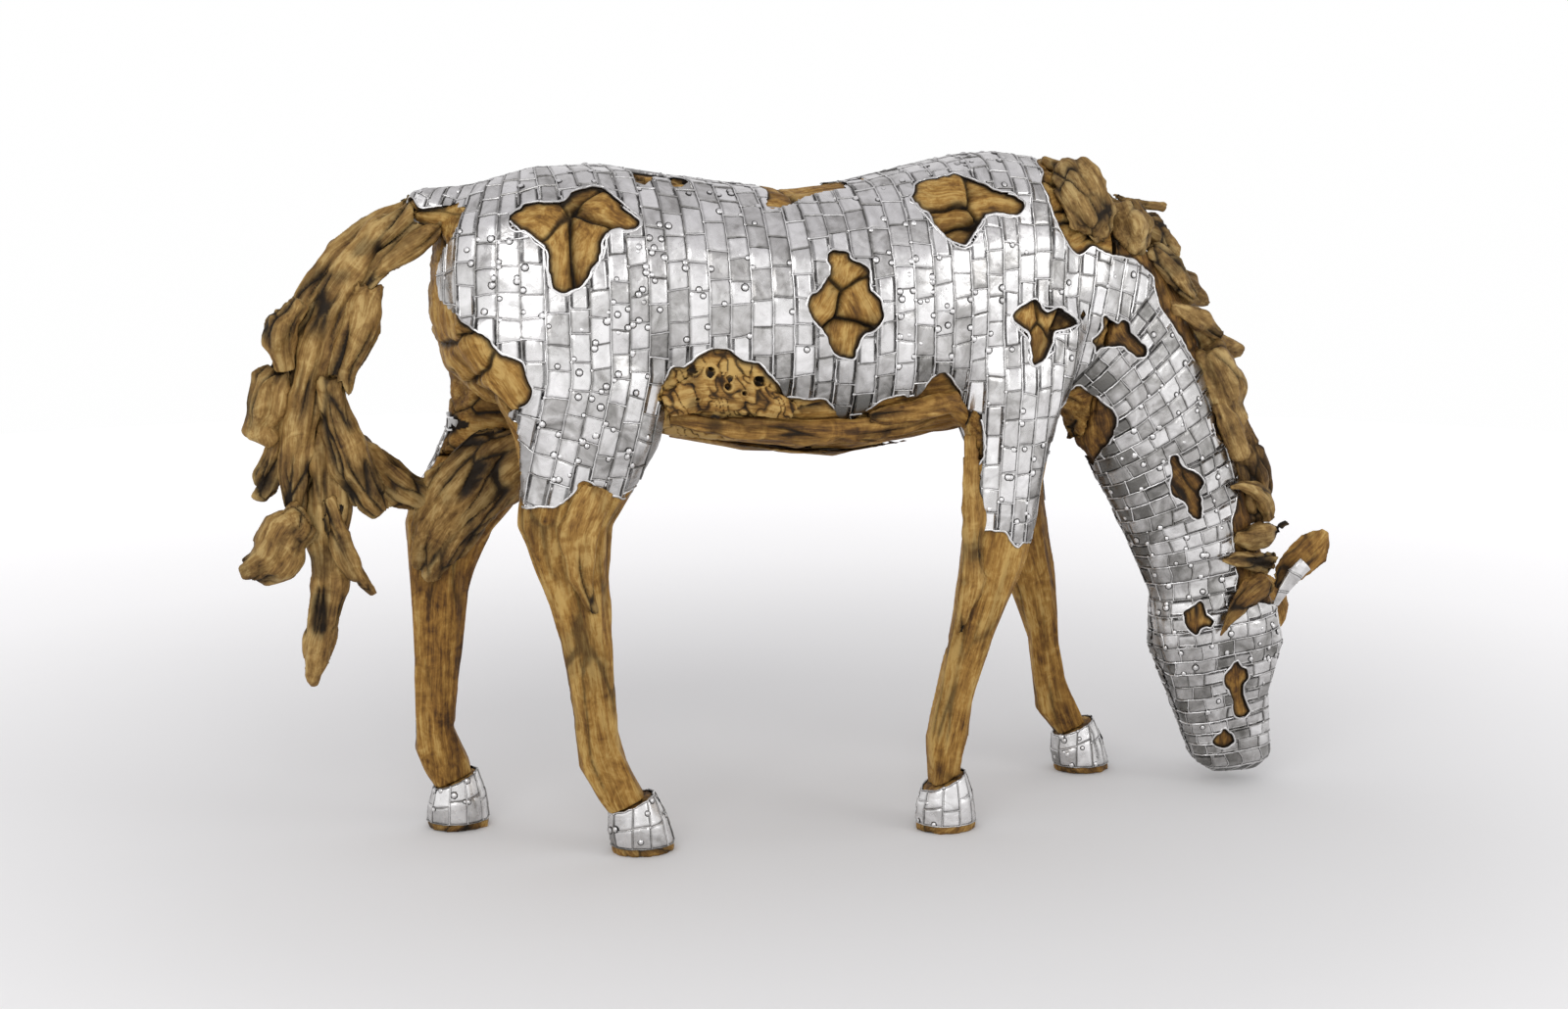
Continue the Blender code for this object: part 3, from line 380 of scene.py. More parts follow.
def off_sheet(sheet, side, point):
    """Signed distance of a point from a sheet, and the direction in which it grows."""
    upper, middle, lower_right, lower_left, turn = sheet
    lower = lower_left if side > 0 else lower_right
    x, z = point.x - OFFSET.x, point.z
    run = (lower[0] - upper[0], lower[1] - upper[1])
    reach = (x - upper[0]) * run[0] + (z - upper[1]) * run[1]
    joint = (middle[0] - upper[0]) * run[0] + (middle[1] - upper[1]) * run[1]
    a, b = (upper, middle) if reach < joint else (middle, lower)
    length = math.hypot(b[0] - a[0], b[1] - a[1])
    across = ((a[1] - b[1]) / length, (b[0] - a[0]) / length)
    cos, sin = math.cos(math.radians(turn)), math.sin(math.radians(turn))
    flat = (x - a[0]) * across[0] + (z - a[1]) * across[1]
    sideways = point.y - OFFSET.y
    distance = flat * cos + side * sideways * sin
    return distance, Vector((across[0] * cos, side * sin, across[1] * cos))


def past_neck_limit(point):
    """Signed distance of a point from the line across the neck base, above 0 on the neck's side."""
    return off_sheet(NECK_LIMIT, 1, point)[0]


def walk(sheet, side):
    """Points and normals down one side of the form along a sheet, from the middle of the back."""
    upper, middle = (Vector((x, 0, z)) for x, z in sheet[:2])
    inward = (middle - upper).normalized()
    start = upper - inward * START_REACH + OFFSET
    place, _, _, _ = FORM.tree.ray_cast(start, inward)
    if place is None:
        return []
    place, normal = FORM.nearest(place)
    found = [(place, normal)]
    for _ in range(int(WALK_LENGTH / WALK_STEP)):
        _, growth = off_sheet(sheet, side, place)
        along = growth.cross(normal) * -side
        if along.length < FLAT_ON_FORM:
            break
        place = place + along.normalized() * WALK_STEP
        for _ in range(WALK_CORRECTIONS):
            gap, growth = off_sheet(sheet, side, place)
            place, normal = FORM.nearest(place - growth * gap)
        if (place - found[-1][0]).length < WALK_STEP * STALLED_SHARE:
            break
        found.append((place, normal))
        crossed = side * (place.y - OFFSET.y) < MIDDLE_REACH and len(found) > POINTS_BEFORE_MIDDLE
        if crossed or place.z < (WALK_FLOOR if sheet[0][1] > WALK_TOP else -1):
            break
    return found


class Patch:
    """A surface as a row of contours: points and normals by slice and by signed length along each."""

    def __init__(self, contours, step):
        self.step = step
        self.low = -max(len(right) for right, _ in contours) + 1
        self.high = max(len(left) for _, left in contours) - 1
        count = self.high - self.low + 1
        self.points = np.full((len(contours), count, 3), np.nan)
        self.normals = np.full((len(contours), count, 3), np.nan)
        for index, (right, left) in enumerate(contours):
            line = [(-k, pair) for k, pair in enumerate(right)] + [(k, pair) for k, pair in enumerate(left)]
            for k, (place, normal) in line:
                self.points[index, k - self.low] = place
                self.normals[index, k - self.low] = normal

    def at(self, slices, lengths):
        """Points and normals at slice numbers and lengths, as arrays of the same shape."""
        i = np.clip(slices, 0, len(self.points) - 1 - GRID_MARGIN)
        k = lengths / self.step - self.low
        last = self.points.shape[1] - 1
        outside = (k < -GRID_MARGIN) | (k > last + GRID_MARGIN)
        k = np.clip(k, 0, last - GRID_MARGIN)
        i0, k0 = i.astype(int), k.astype(int)
        onward, outward = (i - i0)[..., None], (k - k0)[..., None]
        made = []
        for grid in (self.points, self.normals):
            near = grid[i0, k0] * (1 - outward) + grid[i0, k0 + 1] * outward
            far = grid[i0 + 1, k0] * (1 - outward) + grid[i0 + 1, k0 + 1] * outward
            made.append(near * (1 - onward) + far * onward)
        points, normals = made
        points[outside] = np.nan
        return points, unit(normals)

    def lag(self, first, length):
        """How much longer the strip's second edge is here at a seam square to the strip."""
        slices = np.array([first, first + SLICES_PER_STRIP] * 2, dtype=float)
        lengths = np.array([length] * 2 + [length + self.step] * 2)
        ends, _ = self.at(slices, lengths)
        if np.isnan(ends).any():
            return 0.0
        along = unit(ends[2] - ends[0] + ends[3] - ends[1])
        return float(np.clip((ends[0] - ends[1]) @ along, -LAG_LIMIT, LAG_LIMIT))


# Value noise on a lattice, for relief


HASH_STEPS = (374761393, 668265263, 2147483647)
HASH_SEED = 974711
HASH_MIXER = 1274126177
HASH_MASK = 0xFFFFFF


def hashed(cells, seed):
    """A number from 0 to 1 for each lattice cell."""
    mixed = seed * HASH_SEED + sum(cells[..., k] * step for k, step in enumerate(HASH_STEPS))
    mixed = (mixed ^ (mixed >> 13)) * HASH_MIXER
    mixed = mixed ^ (mixed >> 16)
    return (mixed & HASH_MASK) / float(HASH_MASK)


def noise(points, seed):
    """Smooth noise from -1 to 1, one unit across a bump."""
    cells = np.floor(points).astype(np.int64)
    part = points - cells
    part = part * part * (3 - 2 * part)
    total = 0.0
    for corner in range(8):
        step = np.array([corner & 1, corner >> 1 & 1, corner >> 2 & 1])
        weight = np.prod(np.where(step, part, 1 - part), axis=-1)
        total = total + weight * hashed(cells + step, seed)
    return total * 2 - 1


def shaken(points, length, seed, count=3):
    """Independent noises at points, a column each, with bumps of the given length."""
    return np.stack([noise(points / length, seed + k) for k in range(count)], axis=1)


def cell_noise(points, seed):
    """How far the edge of a point's cell is, in cells, and a number from 0 to 1 for that cell."""
    cells = np.floor(points).astype(np.int64)
    first = np.full(points.shape[:-1], 9.0)
    second = first.copy()
    mark = first.copy()
    for number in range(27):
        step = np.array([number % 3 - 1, number // 3 % 3 - 1, number // 9 - 1])
        cell = cells + step
        centre = cell + np.stack([hashed(cell, seed + k) for k in range(3)], axis=-1)
        gap = np.linalg.norm(points - centre, axis=-1)
        closer = gap < first
        second = np.where(closer, first, np.minimum(second, gap))
        mark = np.where(closer, hashed(cell, seed + 7), mark)
        first = np.where(closer, gap, first)
    return second - first, mark


# The edges of the metal


OUTER_FACING = 0.75
EDGE_FACING = 0.55
SHORTEST_LINE = 3
SHORTEST_RIM = 6
RIM_ROUNDING = 10
TEAR_SEED = 40
TORN_SEED = 90


def rim_edges():
    """Edges where the cladding's outer face ends, with the direction into the metal."""
    bm = welded("metal_cladding")
    found = []
    for edge in bm.edges:
        if len(edge.link_faces) != 2:
            continue
        middle = (edge.verts[0].co + edge.verts[1].co) / 2
        _, normal = FORM.nearest(middle)
        agree = [face.normal.dot(normal) for face in edge.link_faces]
        outer = 0 if agree[0] > agree[1] else 1
        if agree[outer] > OUTER_FACING and abs(agree[1 - outer]) < EDGE_FACING:
            inward = edge.link_faces[outer].calc_center_median() - middle
            found.append((edge.verts[0].index, edge.verts[1].index, inward))
    places = [vert.co.copy() for vert in bm.verts]
    bm.free()
    return found, places


def chained(edges):
    """Edges joined end to end into lines of points, each with the edges that it follows."""
    links = {}
    for number, (a, b, _) in enumerate(edges):
        links.setdefault(a, []).append((b, number))
        links.setdefault(b, []).append((a, number))
    used = set()
    lines = []
    starts = [a for a, found in links.items() if len(found) == 1] + list(links)
    for start in starts:
        line, steps = [start], []
        while True:
            onward = [(b, number) for b, number in links[line[-1]] if number not in used]
            if not onward:
                break
            following, number = onward[0]
            used.add(number)
            steps.append(number)
            line.append(following)
        if len(line) > SHORTEST_LINE:
            lines.append((line, steps))
    return lines


def resampled(points, step):
    """Points spread evenly along a line of points."""
    points = np.array(points)
    gaps = np.linalg.norm(np.diff(points, axis=0), axis=1)
    reach = np.concatenate([[0], np.cumsum(gaps)])
    count = max(4, int(round(reach[-1] / step)))
    spots = np.linspace(0, reach[-1], count + 1)
    return np.stack([np.interp(spots, reach, points[:, axis]) for axis in range(3)], axis=1)


def softened(points, closed, passes):
    """A line of points with its corners rounded."""
    for _ in range(passes):
        if closed:
            before, after = np.roll(points, 1, axis=0), np.roll(points, -1, axis=0)
            points = points * 0.5 + (before + after) * 0.25
        else:
            inner = points[1:-1] * 0.5 + (points[:-2] + points[2:]) * 0.25
            points = np.concatenate([points[:1], inner, points[-1:]])
    return points


class Rim:
    """One edge line of the metal: points on the form, normals, and the direction into the metal."""

    def __init__(self, points, closed, inward):
        self.closed = closed
        on_form = [FORM.nearest(Vector(point)) for point in points]
        self.points = np.array([tuple(place) for place, _ in on_form])
        self.normals = np.array([tuple(normal) for _, normal in on_form])
        if closed:
            along = np.roll(self.points, -1, axis=0) - np.roll(self.points, 1, axis=0)
        else:
            along = np.gradient(self.points, axis=0)
        self.sides = unit(np.cross(self.normals, unit(along)))
        if np.sum(self.sides * inward) < 0:
            self.sides = -self.sides


def rims():
    """The edges of the metal that follow the cladding's own outlines, torn a little."""
    edges, places = rim_edges()
    made = []
    for line, steps in chained(edges):
        closed = line[0] == line[-1]
        corners = [tuple(places[index]) for index in line]
        points = resampled(corners, RIM_STEP)
        inward_at = [tuple(edges[number][2]) for number in steps]
        middles = [(np.array(a) + np.array(b)) / 2 for a, b in zip(corners, corners[1:])]
        if closed:
            points = points[:-1]
        points = softened(points, closed, RIM_ROUNDING)
        points = points + TEAR * shaken(points, TEAR_LENGTH, TEAR_SEED)
        points = points + TORN_ROUGHNESS * shaken(points, TORN_GRAIN, TORN_SEED)
        nearest = [min(range(len(middles)), key=lambda k: np.sum((middles[k] - p) ** 2)) for p in points]
        inward = np.array([inward_at[k] for k in nearest])
        if len(points) > SHORTEST_RIM:
            made.append(Rim(points, closed, inward))
    return made


# The torn openings of the right side seen square to it, each a loop of x, z, x, z in millimetres
TORN_OPENINGS = (
    (
        -700, 1505, -693, 1520, -677, 1532, -652, 1547, -623, 1549, -595, 1547, -566, 1552, -552, 1570,
        -522, 1580, -495, 1585, -472, 1580, -457, 1564, -430, 1539, -406, 1516, -400, 1497, -417, 1487,
        -438, 1484, -459, 1491, -479, 1485, -488, 1471, -491, 1447, -498, 1428, -523, 1404, -533, 1381,
        -553, 1358, -584, 1344, -607, 1353, -621, 1367, -619, 1388, -626, 1413, -630, 1434, -626, 1451,
        -644, 1468, -663, 1485, -689, 1486, -698, 1495,
    ),
    (
        35, 1427, 47, 1436, 68, 1434, 81, 1433, 89, 1425, 89, 1414, 99, 1407, 118, 1404, 132, 1390,
        132, 1372, 129, 1358, 131, 1342, 147, 1329, 159, 1316, 162, 1295, 164, 1276, 154, 1260, 133, 1246,
        113, 1238, 104, 1225, 95, 1205, 95, 1185, 89, 1180, 75, 1185, 57, 1187, 39, 1203, 32, 1219,
        26, 1236, 7, 1260, -9, 1278, -19, 1298, -20, 1319, -11, 1334, 14, 1347, 21, 1363, 39, 1381,
        39, 1397, 32, 1413,
    ),
    (
        260, 1549, 276, 1568, 284, 1581, 307, 1596, 338, 1599, 370, 1605, 390, 1611, 404, 1605, 426, 1596,
        445, 1588, 461, 1582, 476, 1569, 501, 1565, 525, 1561, 537, 1551, 558, 1538, 549, 1526, 538, 1513,
        521, 1508, 488, 1510, 467, 1515, 440, 1512, 434, 1495, 416, 1478, 409, 1458, 391, 1441, 372, 1437,
        353, 1443, 335, 1460, 314, 1474, 303, 1493, 301, 1511, 301, 1521, 281, 1528, 276, 1540, 263, 1542,
    ),
    (
        504, 1270, 510, 1282, 518, 1292, 532, 1294, 544, 1298, 558, 1309, 571, 1309, 580, 1300, 584, 1286,
        596, 1278, 613, 1281, 629, 1288, 648, 1287, 657, 1276, 673, 1265, 686, 1250, 674, 1238, 653, 1228,
        630, 1229, 613, 1226, 612, 1215, 608, 1203, 604, 1186, 589, 1175, 575, 1163, 556, 1156, 544, 1155,
        540, 1163, 542, 1179, 539, 1187, 542, 1202, 548, 1218, 543, 1231, 532, 1243, 517, 1252, 506, 1259,
    ),
    (
        744, 1199, 746, 1207, 758, 1212, 766, 1222, 772, 1232, 770, 1247, 769, 1260, 778, 1264, 786, 1256,
        796, 1250, 807, 1243, 819, 1240, 823, 1249, 832, 1251, 843, 1246, 853, 1238, 855, 1227, 859, 1220,
        857, 1215, 867, 1211, 878, 1201, 886, 1192, 899, 1186, 907, 1176, 906, 1161, 896, 1152, 875, 1153,
        865, 1163, 851, 1170, 840, 1183, 823, 1183, 801, 1183, 774, 1183, 764, 1175, 757, 1167, 758, 1174,
        755, 1186, 746, 1192,
    ),
    (
        989, 892, 993, 900, 1012, 899, 1017, 879, 1031, 868, 1043, 859, 1057, 857, 1066, 849, 1075, 847,
        1089, 829, 1088, 817, 1077, 804, 1079, 794, 1084, 782, 1088, 754, 1088, 731, 1074, 729, 1061, 734,
        1047, 752, 1048, 762, 1037, 778, 1023, 786, 1008, 790, 1000, 803, 995, 821, 996, 834, 1000, 846,
        992, 874,
    ),
    (
        1094, 515, 1098, 509, 1103, 504, 1107, 495, 1108, 485, 1108, 478, 1115, 475, 1121, 469, 1132, 462,
        1128, 454, 1122, 446, 1113, 443, 1107, 448, 1101, 447, 1095, 444, 1090, 439, 1088, 432, 1080, 426,
        1074, 428, 1067, 431, 1064, 437, 1055, 447, 1053, 455, 1053, 468, 1051, 479, 1051, 487, 1058, 491,
        1068, 497, 1075, 502, 1084, 507, 1090, 512,
    ),
    (
        1201, 351, 1206, 349, 1209, 340, 1219, 331, 1234, 328, 1237, 316, 1242, 301, 1237, 291, 1230, 285,
        1229, 271, 1232, 256, 1236, 240, 1243, 232, 1248, 218, 1257, 203, 1249, 195, 1242, 189, 1230, 189,
        1218, 191, 1209, 202, 1204, 220, 1201, 240, 1195, 254, 1190, 267, 1181, 276, 1173, 288, 1169, 300,
        1171, 316, 1178, 323, 1189, 329, 1190, 342,
    ),
    (
        1179, 163, 1184, 160, 1190, 161, 1198, 152, 1208, 144, 1214, 134, 1218, 124, 1212, 119, 1203, 115,
        1195, 112, 1185, 109, 1175, 112, 1167, 113, 1158, 118, 1154, 124, 1154, 130, 1160, 139, 1167, 146,
        1175, 152, 1176, 159,
    ),
)
TORN_NEAR = 0.035
TORN_ROUNDING = 2


def torn_rims():
    """The edges of the metal round the torn openings of the right side."""
    made = []
    for flat in TORN_OPENINGS:
        loop = np.array(flat).reshape(-1, 2) / 1000
        corners = np.stack([loop[:, 0], np.full(len(loop), -1.0), loop[:, 1]], axis=1)
        points = resampled(np.concatenate([corners, corners[:1]]), RIM_STEP)[:-1]
        points = softened(points, True, TORN_ROUNDING)
        places = []
        for point in points + TORN_ROUGHNESS * shaken(points, TORN_GRAIN, TORN_SEED):
            place, _, _, _ = FORM.tree.ray_cast(Vector(point) + OFFSET, Vector((0, 1, 0)))
            places.append(tuple(place))
        places = np.array(places)
        made.append(Rim(places, True, places - places.mean(axis=0)))
    return made


def drawn_anew(rim, torn):
    """Whether a rim is the plain outline of one of the torn openings."""
    middle = rim.points.mean(axis=0)
    return any(np.linalg.norm(other.points.mean(axis=0) - middle) < TORN_NEAR for other in torn)


def all_rims():
    """The torn openings' rims, and the others that they don't draw anew."""
    torn = torn_rims()
    return torn + [rim for rim in rims() if not (rim.closed and drawn_anew(rim, torn))]


RIMS = all_rims()
NEAR_RIM = 0.045
FAR_FROM_RIM = 0.1
METAL_NEAR = 0.009
RIM_POINTS_TRIED = 8
SAME_FACING = 0.2


class Edges:
    """How deep inside the metal a point of the form lies: above 0 on metal, below 0 on bare wood."""

    def __init__(self):
        self.points = np.concatenate([rim.points for rim in RIMS])
        self.normals = np.concatenate([rim.normals for rim in RIMS])
        self.sides = np.concatenate([rim.sides for rim in RIMS])
        self.tree = kdtree.KDTree(len(self.points))
        for index, point in enumerate(self.points):
            self.tree.insert(point, index)
        self.tree.balance()
        self.metal = tree_of(mesh_of(welded("metal_cladding"), "metal"))

    def depth(self, point, normal):
        """Depth at one point, by the nearest rim that faces the same way, or else by the solid metal."""
        best = None
        for _, index, distance in self.tree.find_n(point, RIM_POINTS_TRIED):
            if np.dot(self.normals[index], normal) > SAME_FACING:
                best = (index, distance)
                break
        if best is None or best[1] > NEAR_RIM:
            _, _, _, gap = self.metal.find_nearest(point)
            distance = best[1] if best else FAR_FROM_RIM
            return distance if gap < METAL_NEAR else -distance
        index, distance = best
        side = np.dot(np.array(point) - self.points[index], self.sides[index])
        return math.copysign(distance, side)

    def depths(self, points, normals):
        """Depth at every point of a grid."""
        flat, flat_normals = points.reshape(-1, 3), normals.reshape(-1, 3)
        found = [
            -1.0 if np.isnan(point[0]) else self.depth(Vector(point), normal)
            for point, normal in zip(flat, flat_normals)
        ]
        return np.array(found).reshape(points.shape[:-1])


EDGES = Edges()


class Skin:
    """Points, faces and point values gathered for one mesh."""

    def __init__(self, *value_names):
        self.points = []
        self.faces = []
        self.values = {name: [] for name in value_names}

    def add(self, points, faces, **values):
        """Add points and faces, with a value for all of them or one for each."""
        base = len(self.points)
        self.points.extend(tuple(point) for point in points)
        self.faces.extend(tuple(base + corner for corner in face) for face in faces)
        for name, store in self.values.items():
            given = values.get(name, 0.0)
            store.extend(given if hasattr(given, "__len__") else [given] * len(points))

    def mesh(self, name, material):
        """The gathered points and faces as one mesh."""
        mesh = bpy.data.meshes.new(name)
        mesh.from_pydata(self.points, [], self.faces)
        put_values(mesh, **self.values)
        return dressed(mesh, material)


def clipped(points, depth, columns, rows, values):
    """The faces of a grid where depth is above 0, with new points where an edge crosses 0."""
    kept, faces, cuts = list(points), [], {}
    extra = [list(store) for store in values]

    def crossing(a, b):
        """The new point where the edge from a to b crosses 0."""
        key = (min(a, b), max(a, b))
        if key not in cuts:
            share = depth[a] / (depth[a] - depth[b])
            kept.append(points[a] + (points[b] - points[a]) * share)
            for store in extra:
                store.append(store[a] + (store[b] - store[a]) * share)
            cuts[key] = len(kept) - 1
        return cuts[key]

    for row in range(rows - 1):
        for column in range(columns - 1):
            base = row * columns + column
            corners = (base, base + 1, base + columns + 1, base + columns)
            if any(np.isnan(points[corner][0]) for corner in corners):
                continue
            face = []
            for a, b in zip(corners, corners[1:] + corners[:1]):
                if depth[a] > 0:
                    face.append(a)
                if (depth[a] > 0) != (depth[b] > 0):
                    face.append(crossing(a, b))
            if len(face) > 2:
                faces.append(tuple(face))
    used = sorted({corner for face in faces for corner in face})
    place = {old: new for new, old in enumerate(used)}
    faces = [tuple(place[corner] for corner in face) for face in faces]
    return [kept[old] for old in used], faces, [[store[old] for old in used] for store in extra]


def ring_faces(base, rings, sides):
    """Faces between closed rings of points, from the first to the last."""
    faces = []
    for ring in range(rings - 1):
        for step in range(sides):
            a, b = base + ring * sides + step, base + ring * sides + (step + 1) % sides
            faces.append((a, b, b + sides, a + sides))
    return faces


# Metal plates


# Points of a plate between its borders, as shares of it: few where it is whole, more where it is cut
WHOLE_ACROSS = (0.22, 0.5, 0.78)
WHOLE_ALONG = (0.18, 0.40, 0.60, 0.82)
CUT_ACROSS = np.linspace(0.12, 0.88, 7)
CUT_ALONG = np.linspace(0.10, 0.90, 9)
PROBE = np.linspace(0, 1, 5)
WHOLE_DEPTH = 0.004
CUT_MARGIN = 0.001
BULGES = (-0.7, 1.2)
SEAM_SOOT_AND_SHADE = (0.5, 0.9)
DENT_LENGTH = 0.028
DENT_SEED = 5
# A bead's and a rivet's section, as shares of width or radius and of height, and the soot with painted shade
# at each point, darkest where they meet the plate
BEAD_PROFILE = ((-0.62, -0.9), (-0.27, 0.85), (0.27, 0.85), (0.62, -0.9))
BEAD_SOOT_AND_SHADE = (1.0, 0.0, 0.0, 1.0)
BEAD_SWELLS = (0.75, 1.3)
BEAD_FROM_RIM = 0.75
BEAD_JUMP = 0.03
SLICE_WIDTH = 0.0125
RIVET_PROFILE = ((1.40, 0.10, 1.0), (1.12, 0.22, 1.0), (0.95, 0.55, 0.25), (0.55, 0.95, 0.0))
RIVET_TOP = 1.08
RIVET_MARGIN = 0.010
RIVET_CHANCE = 0.55
RIVET_CROWD = 0.75
RIVET_TONES = (0.7, 1.2)
OFF_NORMAL = (0.3, 0.1, 0.9)
CROWD_LENGTH = 0.16
CROWD_SEED = 21
# Where rivets sit on a plate: anywhere between two shares, or at one of two by its edges
RIVETS_ACROSS = ((0.15, 0.85), (0.12, 0.88))
RIVETS_ALONG = ((0.12, 0.88), (0.10, 0.90))
RIVET_SIZES = (0.75, 1.25)
BLOB_CHANCE = 0.45
BLOB_SIZES = (0.8, 1.3)


def folded(points, width):
    """Whether points of a plate are all missing, or too far apart for its width."""
    if np.isnan(points[..., 0]).all():
        return True
    return np.nanmax(np.linalg.norm(np.diff(points, axis=1), axis=-1)) > width


class Region:
    """The plates, seams and rivets of one region, on one side of the line across the neck base."""

    def __init__(self, name, seed, side, shade, whole=False):
        self.name = name
        self.side = side
        self.shade = shade
        self.whole = whole
        self.random = random.Random(seed)
        self.plates = Skin("tone", "soot")
        self.beads = Skin("tone", "soot")
        self.rivets = Skin("tone", "soot")

    def seams(self, patch, strip, plate_length):
        """Places of the seams across one strip, as (length at its first edge, at its second)."""
        first = patch.low * patch.step - self.random.random() * plate_length
        found = []
        while first < patch.high * patch.step + plate_length:
            slant = self.random.uniform(-1, 1) * SEAM_JITTER
            lag = patch.lag(strip * SLICES_PER_STRIP, first)
            found.append((first + slant - lag / 2, first - slant + lag / 2))
            first += plate_length * self.random.uniform(*PLATE_LENGTHS)
        return found

    def add_strips(self, patch, strips, width, plate_length):
        """Plates, beads and rivets over a patch: its strips are SLICES_PER_STRIP slices wide."""
        for strip in strips:
            seams = self.seams(patch, strip, plate_length)
            first = strip * SLICES_PER_STRIP
            for low, high in zip(seams, seams[1:]):
                if self.add_plate(patch, first, low, high, width, plate_length):
                    self.add_bead(patch, (first, first + SLICES_PER_STRIP), low)
            self.add_bead(patch, (first, first), (patch.low * patch.step, patch.high * patch.step))
        last = (strips[-1] + 1) * SLICES_PER_STRIP
        self.add_bead(patch, (last, last), (patch.low * patch.step, patch.high * patch.step))

    def grid(self, patch, first, low, high, columns, rows):
        """Points and normals between two seams at shares of width and length, and the shares."""
        u, v = np.meshgrid(columns, rows)
        start = low[0] + (low[1] - low[0]) * u
        end = high[0] + (high[1] - high[0]) * u
        return patch.at(first + SLICES_PER_STRIP * u, start + (end - start) * v), u, v

    def depths(self, points, normals):
        """How deep inside this region's metal the points of a grid lie."""
        if self.whole:
            return np.where(np.isnan(points[..., 0]), -1.0, 1.0)
        found = EDGES.depths(points, normals)
        if self.side == EITHER_SIDE:
            return found
        flat = points.reshape(-1, 3)
        past = [-1.0 if np.isnan(p[0]) else self.side * past_neck_limit(Vector(p)) for p in flat]
        return np.minimum(found, np.array(past).reshape(found.shape))

    def add_plate(self, patch, first, low, high, width, plate_length):
        """One plate and its rivets between two seams, if it lies on metal. Says whether it was made."""
        (points, normals), _, _ = self.grid(patch, first, low, high, PROBE, PROBE)
        if folded(points, width):
            return False
        depth = self.depths(points, normals)
        if depth.max() <= 0:
            return False
        whole = depth.min() > WHOLE_DEPTH
        border, ridge = PLATE_BORDER / width, PLATE_BORDER / plate_length
        across, along = (WHOLE_ACROSS, WHOLE_ALONG) if whole else (CUT_ACROSS, CUT_ALONG)
        across = np.concatenate([[0, border], across, [1 - border, 1]])
        along = np.concatenate([[0, ridge], along, [1 - ridge, 1]])
        (points, normals), u, v = self.grid(patch, first, low, high, across, along)
        inner = np.clip(np.minimum(np.minimum(u, 1 - u) / border, np.minimum(v, 1 - v) / ridge), 0, 1)
        rise = self.plate_rise(u, v, inner, width, plate_length)
        rise = rise + DENT * noise(points / DENT_LENGTH, DENT_SEED) * inner
        points = points + normals * rise[..., None]
        depth = np.ones(u.shape) if whole else self.depths(points, normals)
        facing = np.nanmean(normals[..., 2])
        # Painted shade: plates that face down get a lower tone, standing in for the darker floor that they
        # reflect
        tone = self.random.uniform(*PLATE_TONES) - UNDER_SHADE * max(0.0, -facing) - self.shade
        # Soot and painted shade along the plate's dipped border at its seams
        soot = (1 - inner) * self.random.uniform(*SEAM_SOOT_AND_SHADE)
        margins = depth.reshape(-1) - CUT_MARGIN
        kept, faces, (soots_and_shade,) = clipped(
            points.reshape(-1, 3), margins, len(across), len(along), [list(soot.reshape(-1))]
        )
        self.plates.add(kept, faces, tone=tone, soot=soots_and_shade)
        self.add_rivets(patch, first, low, high, depth)
        return True

    def plate_rise(self, u, v, inner, width, plate_length):
        """How far a plate stands off the form: bulged, tilted both ways and dipping at its seams."""
        bowl = (1 - (2 * u - 1) ** 2) * (1 - (2 * v - 1) ** 2)
        rise = PLATE_BULGE * self.random.uniform(*BULGES) * bowl - PLATE_DIP * (1 - inner)
        for share, size in ((u, width), (v, plate_length)):
            rise = rise + PLATE_TILT * (self.random.uniform(-1, 1) * (share - 0.5) * size) * inner
        return rise

    def add_bead(self, patch, slices, lengths):
        """A weld bead along a straight run of the patch."""
        reach = abs(lengths[1] - lengths[0]) + abs(slices[1] - slices[0]) * SLICE_WIDTH
        count = max(3, int(reach / BEAD_STEP))
        share = np.linspace(0, 1, count + 1)
        i = slices[0] + (slices[1] - slices[0]) * share
        v = lengths[0] + (lengths[1] - lengths[0]) * share
        points, normals = patch.at(i, v)
        shake = np.array([self.random.uniform(-1, 1) for _ in range(count + 1)]) * BEAD_WOBBLE
        depth = self.depths(points, normals)
        good = (depth > RIM_BAND * BEAD_FROM_RIM) & ~np.isnan(points[:, 0])
        jump = np.linalg.norm(np.diff(points, axis=0), axis=1) > BEAD_JUMP
        run = []
        for k in range(count + 1):
            if good[k] and not (k and jump[k - 1]):
                run.append(k)
            if (not good[k] or k == count or jump[k]) and run:
                self.add_tube(points[run], normals[run], shake[run])
                run = []

    def add_tube(self, points, normals, shake):
        """The raised line of one unbroken bead."""
        if len(points) < 2:
            return
        sides = np.cross(normals, unit(np.gradient(points, axis=0)))
        points = points + sides * shake[:, None]
        rows = []
        for k in range(len(points)):
            swell = self.random.uniform(*BEAD_SWELLS)
            for across, up in BEAD_PROFILE:
                offset = sides[k] * across * BEAD_WIDTH * swell + normals[k] * up * BEAD_HEIGHT * swell
                rows.append(points[k] + offset)
        size = len(BEAD_PROFILE)
        starts = [k * size + c for k in range(len(points) - 1) for c in range(size - 1)]
        faces = [(a, a + 1, a + size + 1, a + size) for a in starts]
        self.beads.add(rows, faces, tone=self.random.random(), soot=BEAD_SOOT_AND_SHADE * len(points))

